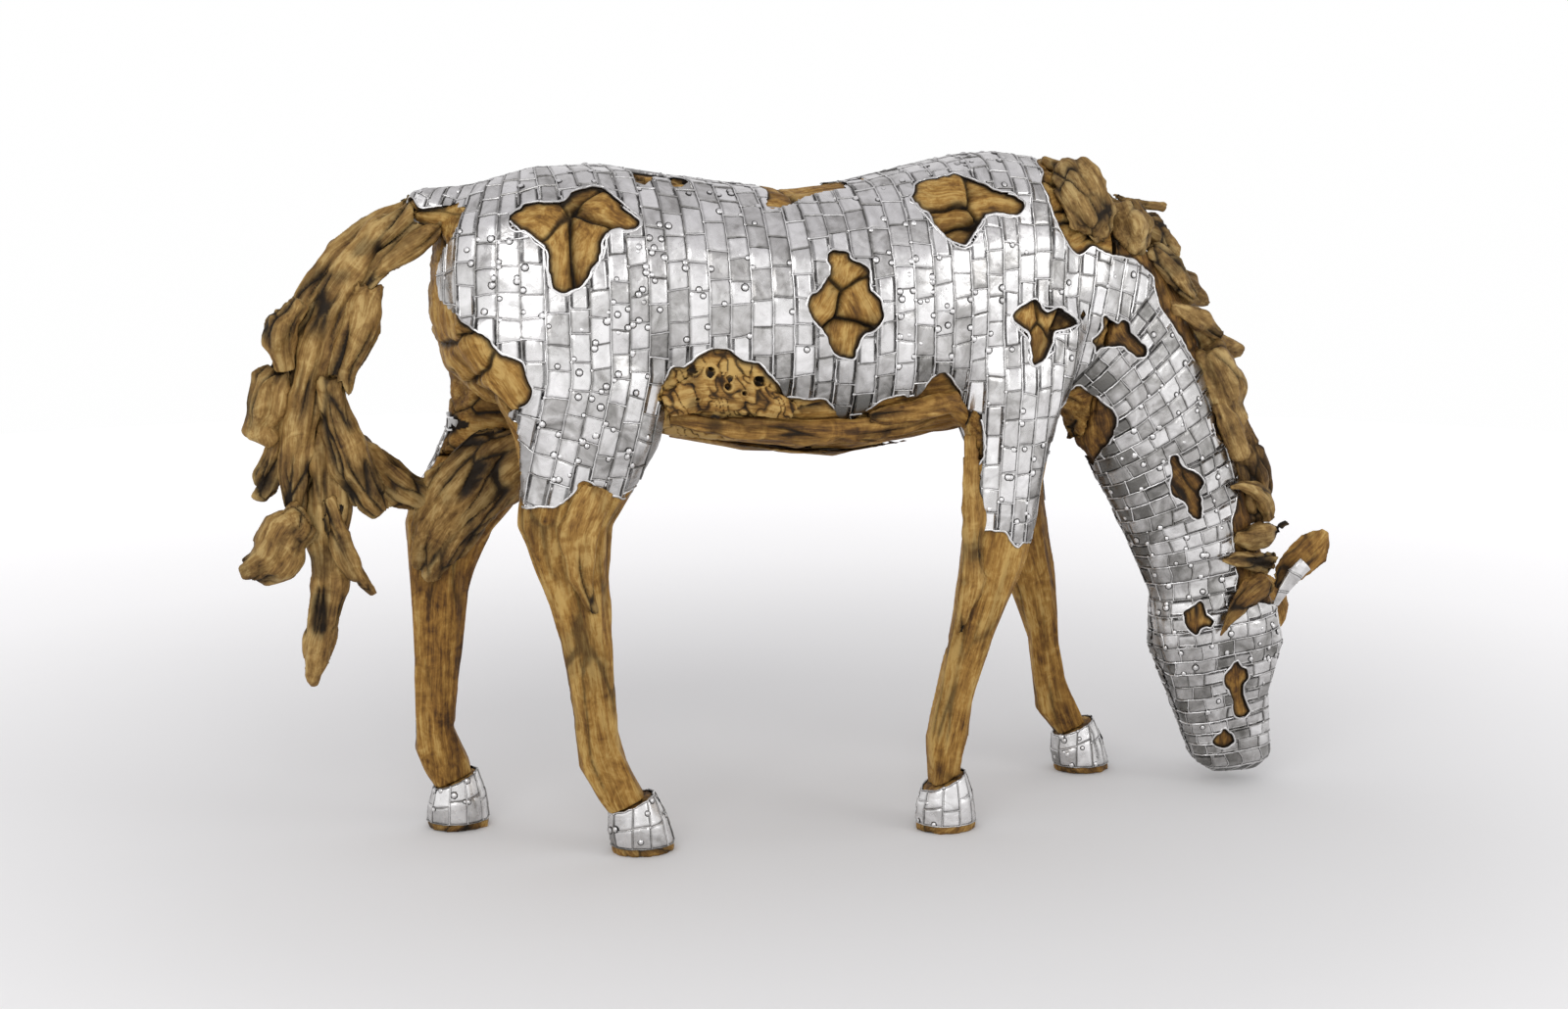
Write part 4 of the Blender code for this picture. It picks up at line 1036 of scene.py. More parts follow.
    def add_rivets(self, patch, first, low, high, depth):
        """Rivet heads on a plate, more where the clusters are, and weld drops at its corners."""
        (centre,), _ = patch.at(np.array([first + SLICES_PER_STRIP / 2]), np.array([(low[0] + high[0]) / 2]))
        if np.isnan(centre[0]) or depth.min() < RIVET_MARGIN:
            return
        chance = RIVET_CHANCE + RIVET_CROWD * noise(centre[None] / CROWD_LENGTH, CROWD_SEED)[0]
        count = (self.random.random() < chance) + (self.random.random() < chance - 0.25)
        count += 2 * (self.random.random() < chance - 0.6)
        for _ in range(count):
            u, v = self.spot(*RIVETS_ACROSS), self.spot(*RIVETS_ALONG)
            radius = RIVET_RADIUS * self.random.uniform(*RIVET_SIZES)
            self.add_dome(patch, first + SLICES_PER_STRIP * u, low[0] + (high[0] - low[0]) * v, radius)
        if self.random.random() < BLOB_CHANCE:
            self.add_dome(patch, first, low[0], BLOB_RADIUS * self.random.uniform(*BLOB_SIZES))

    def spot(self, anywhere, edges):
        """A share of a plate's width or length where a rivet sits."""
        return self.random.choice((self.random.uniform(*anywhere), self.random.choice(edges)))

    def add_dome(self, patch, index, length, radius):
        """A rivet's head, or a drop of weld."""
        (point,), (normal,) = patch.at(np.array([float(index)]), np.array([length]))
        if np.isnan(point[0]):
            return
        side = unit(np.cross(normal, OFF_NORMAL))
        other = np.cross(normal, side)
        share = radius / RIVET_RADIUS
        rows, soot = [], []
        turn = self.random.random()
        for reach, up, dark in RIVET_PROFILE:
            for step in range(RIVET_SIDES):
                angle = math.tau * (step + turn) / RIVET_SIDES
                spoke = side * math.cos(angle) + other * math.sin(angle)
                rows.append(point + spoke * radius * reach + normal * RIVET_HEIGHT * share * up)
                soot.append(dark)
        rows.append(point + normal * RIVET_HEIGHT * share * RIVET_TOP)
        soot.append(0.0)
        faces = ring_faces(0, len(RIVET_PROFILE), RIVET_SIDES)
        top = (len(RIVET_PROFILE) - 1) * RIVET_SIDES
        for step in range(RIVET_SIDES):
            faces.append((top + step, top + (step + 1) % RIVET_SIDES, len(rows) - 1))
        self.rivets.add(rows, faces, tone=self.random.uniform(*RIVET_TONES), soot=soot)

    def finish(self, material, *replaced):
        """Show the plates, the beads and the rivets if there are any."""
        show(f"{self.name}_plates", self.plates.mesh("plates", material), "bright_metal", *replaced)
        show(f"{self.name}_beads", self.beads.mesh("beads", material), "bright_metal")
        if self.rivets.points:
            show(f"{self.name}_rivets", self.rivets.mesh("rivets", material), "bright_metal")


# The turned edge of the metal, point by point across it: reach into the metal, height over the form, and soot
# with painted shade, darkest as painted shadow on the lip that turns down to the wood
RIM_PROFILE = (
    (RIM_BAND, -0.0006, 0.5), (RIM_BAND * 0.8, RIM_RISE * 0.8, 0.0), (0.0015, RIM_RISE, 0.0),
    (-0.0005, 0.0002, 0.35), (0.0010, -RIM_DEPTH, 1.0),
)
RIM_TONE = 0.75
RIM_BREADTHS = (0.7, 1.5)
RIM_DRIFT = 0.2
RIM_SEED = 11


def rim_bands(material):
    """The smooth turned edge of the metal round every bare area."""
    skin = Skin("tone", "soot")
    wave = random.Random(RIM_SEED)
    size = len(RIM_PROFILE)
    for rim in RIMS:
        count = len(rim.points)
        rows, soot = [], []
        breadth = 1.0
        for k in range(count):
            breadth += (wave.uniform(*RIM_BREADTHS) - breadth) * RIM_DRIFT
            for reach, up, dark in RIM_PROFILE:
                wide = reach * breadth if reach > RIM_BAND / 2 else reach
                place, normal = FORM.nearest(Vector(rim.points[k] + rim.sides[k] * wide))
                rows.append(tuple(place + normal * up))
                soot.append(dark)
        faces = []
        for k in range(count if rim.closed else count - 1):
            a, b = k * size, (k + 1) % count * size
            faces.extend((a + c, b + c, b + c + 1, a + c + 1) for c in range(size - 1))
        skin.add(rows, faces, tone=RIM_TONE, soot=soot)
    show("metal_rims", skin.mesh("rims", material), "bright_metal")


def under_skin(material):
    """The sheet metal under the plates' seams: the smooth form where it is clad, a little way in, given a low
    tone and soot as painted shade in the gaps between plates.
    """
    mesh = baked(FORM.mesh, decimation(SKIN_SHARE))
    points, normals = coordinates(mesh), normals_of(mesh)
    depth = EDGES.depths(points, normals)
    bm = bmesh.new()
    bm.from_mesh(mesh)
    bare = [vert for vert in bm.verts if depth[vert.index] < SKIN_EDGE]
    bmesh.ops.delete(bm, geom=bare, context="VERTS")
    bm.normal_update()
    moved_out(bm, -SKIN_DEPTH)
    mesh = dressed(mesh_of(bm, "skin"), material)
    count = len(mesh.vertices)
    put_values(mesh, tone=[SKIN_TONE] * count, soot=[SKIN_SOOT_AND_SHADE] * count)
    show("under_skin", mesh, "bright_metal")


def patch_of(rows):
    """The patch that a fan of sheets cuts from the form."""
    contours = [(walk(sheet, -1), walk(sheet, 1)) for sheet in sheets(rows)]
    return Patch(contours, WALK_STEP)


def front_place(y, z):
    """The point and normal of a face that looks forward under the neck, or two empty ones."""
    for start in (FRONT_START, THROAT_X + (THROAT_Z - z) * THROAT_SLOPE):
        place, _, _, _ = FORM.tree.ray_cast(Vector((start, y, z)) + OFFSET, Vector((-1, 0, 0)))
        if place is None or past_neck_limit(place) > 0:
            continue
        place, normal = FORM.nearest(place)
        if normal.x > FRONT_FACING:
            return place, normal
    return (math.nan,) * 3, (math.nan,) * 3


def plate_front(material):
    """Plates in upright strips over the breast and forearms, where the strips across the body don't lie."""
    strips = round(2 * FRONT_REACH / FRONT_STRIP)
    columns = []
    for y in np.linspace(-FRONT_REACH, FRONT_REACH, strips * SLICES_PER_STRIP + 1):
        columns.append([front_place(y, z) for z in np.arange(FRONT_TOP, WALK_FLOOR, -WALK_STEP)])
    patch = Patch([(column[:1], column) for column in columns], WALK_STEP)
    front = Region("front", FRONT_SEED, BODY_SIDE, BODY_SHADE)
    front.add_strips(patch, range(strips), FRONT_STRIP, PLATE_LENGTH)
    front.finish(material)


def plate_body(material):
    """Every plate of the body, neck and head."""
    body = Region("body", 0, BODY_SIDE, BODY_SHADE)
    count = sum(row[0] for row in BODY_ROWS)
    body.add_strips(patch_of(BODY_ROWS), range(count), BODY_STRIP, PLATE_LENGTH)
    body.finish(material, "metal_cladding")
    plate_front(material)
    patch = patch_of(NECK_ROWS)
    neck = sum(row[0] for row in NECK_ROWS[:HEAD_ROW])
    head = sum(row[0] for row in NECK_ROWS)
    parts = (
        ("neck", 1, range(neck), NECK_SIDE, NECK_SHADE),
        ("head", 2, range(neck, head), EITHER_SIDE, HEAD_SHADE),
    )
    for name, seed, strips, side, shade in parts:
        region = Region(name, seed, side, shade)
        region.add_strips(patch, strips, NECK_STRIP, HEAD_PLATE_LENGTH)
        region.finish(material)


# Hooves and ear


HOOF_SIDES = ("right_hind", "left_hind", "right_fore", "left_fore")
HOOF_VOXEL = 0.0012
HOOF_PASSES = 6
HOOF_COLUMNS = 9
HOOF_SLICES = HOOF_COLUMNS * SLICES_PER_STRIP
HOOF_ROWS = 24
HOOF_HEIGHTS = 80
HOOF_STEP = 0.004
HOOF_PLATE = 0.05
HOOF_SEAMS = (0.35, 0.65)
HOOF_SLANT = 0.01
HOOF_SEED = 50
RAY_REACH = 0.2
RAY_FACING = -0.4


class Ring(Patch):
    """A hoof's metal as contours from its top edge to its bottom edge, all round."""

    def __init__(self, name):
        self.surface = Surface(baked(baked(NODES[name].data, voxels(HOOF_VOXEL)), smoothing(HOOF_PASSES)))
        columns = [self.column(math.tau * turn / HOOF_SLICES) for turn in range(HOOF_SLICES + 1)]
        self.length = np.linalg.norm(np.diff([tuple(p) for p, _ in columns[0]], axis=0), axis=1).sum()
        super().__init__([(column[:1], column) for column in columns], self.length / (HOOF_ROWS - 1))

    def column(self, angle):
        """Points and normals of the outer face at one angle, from the top down."""
        points = self.surface.points
        centre = points.mean(axis=0)
        inward = Vector((-math.cos(angle), -math.sin(angle), 0))
        hits = []
        for height in np.linspace(points[:, 2].min(), points[:, 2].max(), HOOF_HEIGHTS):
            start = Vector((centre[0], centre[1], height)) - inward * RAY_REACH
            place, normal, _, _ = self.surface.tree.ray_cast(start, inward, RAY_REACH)
            if place is not None and normal.dot(inward) < RAY_FACING:
                hits.append(tuple(place))
        line = resampled(hits, HOOF_STEP)
        shares, spots = np.linspace(0, 1, HOOF_ROWS), np.linspace(0, 1, len(line))
        even = np.stack([np.interp(shares, spots, line[:, k]) for k in range(3)], axis=1)
        return [self.surface.nearest(Vector(point)) for point in even[::-1]]


def plate_hooves(material):
    """Two rows of plates round every hoof, with beads along all their seams."""
    for seed, side in enumerate(HOOF_SIDES):
        name = f"{side}_hoof_wrap"
        ring = Ring(name)
        region = Region(name, HOOF_SEED + seed, EITHER_SIDE, HOOF_SHADE, whole=True)
        for first in range(0, HOOF_SLICES, SLICES_PER_STRIP):
            middle = ring.length * region.random.uniform(*HOOF_SEAMS)
            slanted = (middle, middle + region.random.uniform(-HOOF_SLANT, HOOF_SLANT))
            seams = ((0.0, 0.0), slanted, (ring.length, ring.length))
            for low, high in zip(seams, seams[1:]):
                region.add_plate(ring, first, low, high, HOOF_PLATE, HOOF_PLATE)
            region.add_bead(ring, (first, first + SLICES_PER_STRIP), slanted)
            region.add_bead(ring, (first, first), (0.0, ring.length))
        for length in (0.0, ring.length):
            region.add_bead(ring, (0, HOOF_SLICES), (length, length))
        region.finish(material, name)


EAR_VOXEL = 0.0015
EAR_PASSES = 8
EAR_SLICES = 6
EAR_PLATE = 0.055
EAR_SEAM_SHIFT = 0.3
EAR_SEAM = (0.0005, 0.0018)
EAR_SEAM_OUTLINE = (0.0022, 0.0040)
EAR_SEAM_RISE = 0.0014
EAR_DENT = 0.0008


def plate_ear(material):
    """The right ear's metal facing, dented and with welded seams across it."""
    mesh = baked(NODES["right_ear_facing"].data, voxels(EAR_VOXEL), smoothing(EAR_PASSES))
    points = coordinates(mesh)
    grain = Grain(points, EAR_SLICES).of(points)
    shift = EAR_SEAM_SHIFT * noise(points / 0.05, 3)
    seam = np.abs((grain[:, 0] / EAR_PLATE + shift) % 1 - 0.5) * EAR_PLATE
    core, outline = 1 - steps(seam, *EAR_SEAM), 1 - steps(seam, *EAR_SEAM_OUTLINE)
    dents = noise(points / 0.02, 8)
    points = points + normals_of(mesh) * (core * EAR_SEAM_RISE + dents * EAR_DENT)[:, None]
    mesh.vertices.foreach_set("co", points.reshape(-1))
    # Painted light and shade: the tone is lighter where the dents stand out and darker where they sink; the
    # outline beside each raised seam is soot with painted shade
    put_values(mesh, tone=0.75 + 0.2 * dents, soot=np.clip(outline - core, 0, 0.8))
    show("ear_plate", dressed(mesh, material), "bright_metal", "right_ear_facing")


# Wood


class Grain:
    """The run of the grain in a piece: along the line through the middles of its slices."""

    def __init__(self, points, count):
        self.centre = points.mean(axis=0)
        _, _, axes = np.linalg.svd(points[:: max(1, len(points) // 2000)] - self.centre, full_matrices=False)
        self.axis, self.side, self.other = axes
        reach = (points - self.centre) @ self.axis
        edges = np.linspace(reach.min(), reach.max(), count + 1)
        middles = []
        for low, high in zip(edges, edges[1:]):
            inside = (reach >= low) & (reach <= high)
            if inside.any():
                middles.append(points[inside].mean(axis=0))
        line = softened(np.array(middles), False, 1)
        self.line = line
        self.reach = np.concatenate([[0], np.cumsum(np.linalg.norm(np.diff(line, axis=0), axis=1))])

    def of(self, points):
        """Grain coordinates: length along the piece, and two across it."""
        best = np.full(len(points), 1e9)
        found = np.zeros((len(points), 3))
        last = len(self.line) - 2
        for k, (a, b) in enumerate(zip(self.line, self.line[1:])):
            run = b - a
            share = (points - a) @ run / (run @ run)
            share = np.clip(share, None if k == 0 else 0, None if k == last else 1)
            gap = points - a - share[:, None] * run
            distance = np.linalg.norm(gap, axis=1)
            closer = distance < best
            best = np.where(closer, distance, best)
            length = self.reach[k] + share * np.linalg.norm(run)
            place = np.stack([length, gap @ self.side, gap @ self.other], axis=1)
            found = np.where(closer[:, None], place, found)
        return found


def steps(values, low, high):
    """0 below low, 1 above high, a smooth rise between."""
    share = np.clip((values - low) / (high - low), 0, 1)
    return share * share * (3 - 2 * share)


@dataclass
class Look:
    """How one kind of wood piece is carved: lengths in metres, the rest as shares."""

    voxel: float
    cell: tuple
    crack: float
    ridge: float
    slices: int = 10
    level: float = 0.003
    open_share: float = 0.0
    tone: float = 0.0
    eyes: float = 0.0
    swell: float = 0.0
    knobs: float = 0.0
    strands: int = 0
    proud: float = 0.8
    thick: float = 0.4
    grey: float = 0.3
    shadow: float = 1.0


LOG = Look(0.0045, (0.50, 0.075), 0.004, 0.0016, 14, 0.003, 0.15, 0.12, strands=3, proud=0.84, thick=0.24,
           grey=0.05, shadow=0.7)
ROOT = Look(0.0045, (0.42, 0.040), 0.012, 0.0030, 12, 0.006, -0.1, 0.0, swell=0.006, knobs=0.008,
            strands=5, proud=0.78, thick=0.46, grey=0.55)
CHUNK = Look(0.0040, (0.13, 0.050), 0.010, 0.0048, 6, 0.005, 0.0, -0.1, swell=0.005, knobs=0.011,
             strands=4, proud=0.74, thick=0.48, grey=0.75)
PLANK = Look(
    0.0036, (0.45, 0.060), 0.010, 0.0034, 10, 0.006, 0.0, 0.0, strands=3, proud=0.80, thick=0.32,
    swell=0.003, knobs=0.006, grey=0.2,
)
KEEL = Look(0.0036, (0.45, 0.060), 0.004, 0.0020, 10, 0.002, 0.0, -0.1, swell=0.002, grey=0.2)
BURL = Look(0.0030, (0.10, 0.060), 0.004, 0.0026, 6, 0.004, 0.2, 0.10, 0.012, swell=0.003, knobs=0.005,
            grey=0.2)
LEAF = Look(0.0030, (0.20, 0.045), 0.003, 0.0012, 6, 0.001, 0.1, 0.1, grey=0.1)
HORN = Look(0.0030, (0.20, 0.040), 0.006, 0.0020, 6, 0.003, 0.0, 0.0, strands=3, proud=0.7, thick=0.45,
            grey=0.3)
SOLE = Look(0.0050, (0.12, 0.050), 0.003, 0.0012, 4, 0.002, 0.2, -0.3)
BLOCK = Look(0.0050, (0.26, 0.085), 0.012, 0.0042, 8, 0.005, -0.2, 0.0, grey=0.1)

# The burl's dark eyes on the right side: place (x, z) and radius
BURL_EYES = (
    (-0.248, 1.161, 0.0125), (-0.201, 1.146, 0.0078), (-0.206, 1.124, 0.0080), (-0.129, 1.137, 0.0135),
    (-0.278, 1.095, 0.0050), (-0.168, 1.108, 0.0060),
)

STRAND_STEPS = 16
STRAND_SIDES = 8
# Shares of the piece's length where a strand may start and end
STRAND_STARTS = (0.0, 0.38)
STRAND_ENDS = (0.66, 1.0)
STRAND_SHIFT = 0.3
STRAND_TWIST = 1.4
PROUD_RANGE = (0.9, 1.1)
THICK_RANGE = (0.75, 1.25)
TIP_SHARE = 0.35
STRAND_BREADTH = 1.3


class Strand:
    """One thinner root lying along a piece: its ends, its place round the piece and its size."""

    def __init__(self, number, look, chance):
        self.start = chance.uniform(*STRAND_STARTS)
        self.end = chance.uniform(*STRAND_ENDS)
        self.phase = math.tau * (number + chance.uniform(-STRAND_SHIFT, STRAND_SHIFT)) / look.strands
        self.twist = chance.uniform(-STRAND_TWIST, STRAND_TWIST)
        self.proud = look.proud * chance.uniform(*PROUD_RANGE)
        self.thick = look.thick * chance.uniform(*THICK_RANGE)

    def tube(self, grain, widths):
        """Rings of points along the strand."""
        rings = []
        tangents = np.gradient(grain.line, axis=0)
        for share in np.linspace(0, 1, STRAND_STEPS):
            length = (self.start + (self.end - self.start) * share) * grain.reach[-1]
            centre, tangent, width = (
                np.array([np.interp(length, grain.reach, table[:, k]) for k in range(table.shape[1])])
                for table in (grain.line, tangents, widths)
            )
            tangent /= np.linalg.norm(tangent)
            angle = self.phase + self.twist * share
            out = grain.side * math.cos(angle) * width[0] + grain.other * math.sin(angle) * width[1]
            out -= tangent * (out @ tangent)
            taper = math.sin(math.pi * min(1, share * 1.15 + 0.05)) ** 0.5
            radius = min(width) * self.thick * (TIP_SHARE + (1 - TIP_SHARE) * taper)
            first = out / (np.linalg.norm(out) + 1e-9)
            second = np.cross(tangent, first)
            turns = math.tau * np.arange(STRAND_SIDES) / STRAND_SIDES
            ring = np.cos(turns)[:, None] * first + np.sin(turns)[:, None] * second * STRAND_BREADTH
            rings.append(centre + out * self.proud + ring * radius)
        return rings


def tube_faces(base, rings, sides):
    """Faces of a tube with both its ends closed."""
    last = base + (rings - 1) * sides
    ends = tuple(range(base + sides - 1, base - 1, -1)), tuple(range(last, last + sides))
    return [ends[0], *ring_faces(base, rings, sides), ends[1]]


def half_widths(grain, points):
    """How far the piece reaches to either side of its middle line at each of the line's points."""
    placed = grain.of(points)
    step = grain.reach[-1] / (len(grain.reach) - 1)
    found = []
    for reach in grain.reach:
        near = np.abs(placed[:, 0] - reach) < step
        found.append(np.percentile(np.abs(placed[near, 1:]), 85, axis=0) if near.any() else found[-1])
    return np.array(found)


def with_strands(name, look, seed):
    """A piece's mesh with thinner roots laid along it, all still separate."""
    bm = welded(name)
    mesh = mesh_of(bm, name)
    if not look.strands:
        return mesh
    dense = baked(mesh.copy(), voxels(look.voxel * 2))
    points = coordinates(dense)
    grain = Grain(points, look.slices)
    widths = half_widths(grain, points)
    chance = random.Random(seed)
    corners = [tuple(point) for point in coordinates(mesh)]
    faces = [tuple(face.vertices) for face in mesh.polygons]
    for number in range(look.strands):
        rings = Strand(number, look, chance).tube(grain, widths)
        faces.extend(tube_faces(len(corners), STRAND_STEPS, STRAND_SIDES))
        corners.extend(tuple(point) for ring in rings for point in ring)
    made = bpy.data.meshes.new(name)
    made.from_pydata(corners, [], faces)
    return made


def remeshed(mesh, voxel):
    """A mesh as one skin of even, softened faces."""
    return baked(mesh, voxels(voxel), smoothing(WOOD_PASSES))


def thinned(mesh):
    """A carved mesh with fewer triangles, most where it is flat, and with its stored values."""
    mesh.calc_loop_triangles()
    share = min(WOOD_SHARE, PIECE_LIMIT / len(mesh.loop_triangles))
    made = baked(mesh, decimation(share), keep_values=True)
    made.shade_smooth()
    return made


def carve(mesh, look, seed, painted_shade):
    """Push a piece's surface into roots, ridges and hollows, and store what the material needs."""
    points, normals = coordinates(mesh), normals_of(mesh)
    grain = Grain(points, look.slices).of(points)
    depth, hollow, mark = carving(points, grain, look, seed)
    moved = points + normals * depth[:, None]
    mesh.vertices.foreach_set("co", moved.reshape(-1))
    store(mesh, grain, hollow * look.shadow, mark + look.tone - painted_shade, look.grey)


def bent_grain(points, grain, seed):
    """Grain coordinates that wander a little."""
    return grain + shaken(points, BEND_LENGTH, seed) * BEND


def carving(points, grain, look, seed):
    """Depth, painted shade with dark marks, and tone at points, from where they lie in the grain."""
    bent = bent_grain(points, grain, seed)
    along, across = look.cell
    edge, mark = cell_noise(bent / (along, across, across), seed)
    return relief(points, bent, edge * across, mark, look, seed)


# Eyes and fibres of the burl: each pair is where a step begins and ends
EYE_SHAKE = 0.30
EYE_SHAKE_LENGTH = 0.012
EYE_EDGE = (0.65, 1.05)
LIP_INSIDE = (0.80, 1.20)
LIP_OUTSIDE = (1.35, 1.85)
FIBRE_BEND = 0.014
FIBRE_BEND_LENGTH = 0.035
FIBRE_SLANT = 0.6
FIBRE_WIDTH = 0.013
FIBRE_LENGTH = 0.030
FIBRE_LINE = (0.03, 0.20)
FIBRE_BACK = (0.16, 0.45)
LIP_RISE = 0.004
LINE_DEPTH = 0.0035

# Relief of the wood: how wide its forms are in metres, and where their steps begin and end
OPEN_LENGTH = 0.10
OPEN_SPREAD = 0.3
CRACK_EDGE = (0.001, 0.006)
VALLEY_EDGE = (0.002, 0.022)
FLOW_CELL = (0.16, 0.026, 0.026)
FINE_CELL = (0.05, 0.0075, 0.0075)
LUMP_LENGTH = 0.05
KNOB_LENGTH = 0.060
HIGHEST = 0.004


def burl_eyes(points, seed):
    """How far points are in one of the burl's dark eyes, and how far on the pale lip round it."""
    x, _, z = (points - np.array(OFFSET)).T
    shake = EYE_SHAKE * noise(points / EYE_SHAKE_LENGTH, seed + 31)
    eye = np.zeros(len(points))
    lip = eye.copy()
    for site_x, site_z, radius in BURL_EYES:
        reach = np.hypot(x - site_x, z - site_z) / radius + shake
        eye = np.maximum(eye, 1 - steps(reach, *EYE_EDGE))
        lip = np.maximum(lip, steps(reach, *LIP_INSIDE) * (1 - steps(reach, *LIP_OUTSIDE)))
    return eye, lip * (1 - eye)


def burl_grain(points, seed):
    """Dark lines between the burl's short slanting fibres, and the bright backs of the fibres."""
    x, y, z = points.T
    bend = FIBRE_BEND * noise(points / FIBRE_BEND_LENGTH, seed + 33)
    across = (x + FIBRE_SLANT * z + bend) / FIBRE_WIDTH
    along = (z - FIBRE_SLANT * x + bend) / FIBRE_LENGTH
    ridge = np.abs(noise(np.stack([across, y / FIBRE_LENGTH, along], axis=1), seed + 32))
    return 1 - steps(ridge, *FIBRE_LINE), steps(ridge, *FIBRE_BACK)


def relief(points, bent, edge, mark, look, seed):
    """Cracks where the edge of a root is near, with ridges along the grain between them."""
    share = look.open_share
    opened = steps(noise(points / OPEN_LENGTH, seed + 5), share - OPEN_SPREAD, share + OPEN_SPREAD)
    crack = (1 - steps(edge, *CRACK_EDGE)) * opened
    valley = (1 - steps(edge, *VALLEY_EDGE)) * (0.3 + 0.7 * opened)
    flow = noise(bent / FLOW_CELL, seed + 11)
    fine = noise(bent / FINE_CELL, seed + 12)
    lumps = noise(points / LUMP_LENGTH, seed + 13)
    depth = -look.crack * (crack * 0.6 + valley * 0.5) + look.level * (mark - 0.8) * (1 - valley)
    depth = depth + look.ridge * (flow - 0.5) + look.ridge * 0.35 * fine + look.level * 0.4 * lumps
    # Painted shade: cracks, valleys and the low places of the flow and the fine grain are darkened; the tone
    # is lighter where the flow stands higher
    low = steps(-flow, 0.1, 0.75)
    hollow = np.maximum(crack, 0.45 * valley * opened) + 0.28 * low + 0.12 * steps(-fine, 0.1, 0.6)
    tone = 0.5 + 0.35 * (mark - 0.5) + 0.25 * flow
    if look.eyes:
        eye, lip = burl_eyes(points, seed)
        lines, bright = burl_grain(points, seed)
        depth = depth - look.eyes * eye + LIP_RISE * lip - LINE_DEPTH * lines * (1 - lip)
        hollow = np.maximum(np.maximum(hollow * 0.2, 0.9 * lines) * (1 - lip), eye)
        tone = tone + 0.9 * bright + 0.8 * lip
    knob = noise(points / KNOB_LENGTH, seed + 14) + 0.5 * noise(points / (KNOB_LENGTH / 2), seed + 15)
    depth = np.minimum(depth, HIGHEST) + look.swell + look.knobs * knob
    # Painted shade in the low places between the knobs
    hollow = hollow + (0.5 * steps(-knob, 0.35, 0.9) if look.knobs else 0)
    return depth, np.clip(hollow, 0, 1), tone


def store(mesh, grain, hollow, tone, grey):
    """Keep what the wood material reads, point by point."""
    layer = mesh.attributes.new("grain", "FLOAT_VECTOR", "POINT")
    layer.data.foreach_set("vector", grain.reshape(-1).astype(np.float32))
    put_values(mesh, hollow=hollow, tone=tone, weathered=np.full(len(hollow), grey))
    mesh.shade_smooth()


def wood_piece(name, look, seed, material):
    """A piece of bare wood, carved all over."""
    mesh = remeshed(with_strands(name, look, seed), look.voxel)
    carve(mesh, look, seed, PAINTED_SHADE_BY_PIECE.get(name, 0.0))
    mesh = thinned(mesh)
    mesh.materials.append(material)
    show(f"{name}_carved", mesh, "driftwood", name)


BARE_VOXEL = 0.010
BARE_REACH = 0.030
BARE_CUTS = 2
# How far outside the metal's edge the wood is carved, and darkened as singed wood and as painted shadow of
# the edge, and how deep it sinks under the edge
BARE_EDGE = (-0.004, 0.010)
SINGED_AND_SHADED_EDGE = (0.003, 0.016)
HIDDEN_DEPTH = 0.006
HIDDEN_REACH = 0.012
WOOD_SHARE = 0.45
PIECE_LIMIT = 180000
WOOD_PASSES = 3
BEND_LENGTH = 0.12
BEND = (0.04, 0.014, 0.014)

# Roots seen through the openings of the right side: place (x, z), run of the grain in degrees, rise in metres
ROOTS_SEEN = (
    (-0.645, 1.520, -30, 0.002), (-0.478, 1.540, -35, 0.001), (-0.513, 1.585, 15, -0.003),
    (-0.592, 1.430, 80, 0.003), (-0.521, 1.445, 75, 0.001), (0.064, 1.402, 60, 0.000),
    (0.096, 1.307, -65, 0.003), (0.016, 1.335, 55, 0.000), (0.089, 1.231, 80, -0.001),
    (0.335, 1.560, -8, 0.003), (0.478, 1.545, 5, 0.000), (0.345, 1.499, -4, -0.002),
    (0.353, 1.455, 6, -0.004), (0.539, 1.266, 80, 0.003), (0.612, 1.278, 85, -0.001),
    (0.648, 1.250, 60, -0.008), (0.563, 1.200, 70, -0.002), (-0.077, 1.575, 0, 0.002),
    (0.020, 1.600, 8, 0.000), (-0.801, 1.197, -52, 0.002), (-0.715, 1.140, -48, 0.003),
    (-0.760, 1.065, -60, 0.000), (-0.854, 1.264, -75, 0.001), (-0.850, 1.120, -82, -0.002),
    (0.748, 1.235, 70, 0.003), (0.811, 1.198, -50, -0.002), (0.705, 1.206, 30, -0.006),
)
SEEN_REACH = 0.11
SEEN_BEND = 0.012
SEEN_BEND_LENGTH = 0.05
SEEN_STRETCH = 1.4
SEEN_FACING = 0.3
SEEN_MARK = 0.8
SEEN_SHARPNESS = 0.7
SEEN_GAP = (0.003, 0.013)
SEEN_SHADE = (0.001, 0.010)
SEEN_SINK = 0.001
SEEN_HIGHEST = 0.005
GRAIN_SHIFT = 0.01
FAR = 9.0
RISE_SCALE = 2.2
GAP_DEPTH = 0.006
BURL_PLACE = (-0.21, 1.10)
BURL_REACH = (0.20, 0.13)
BURL_EDGE = (0.9, 1.1)


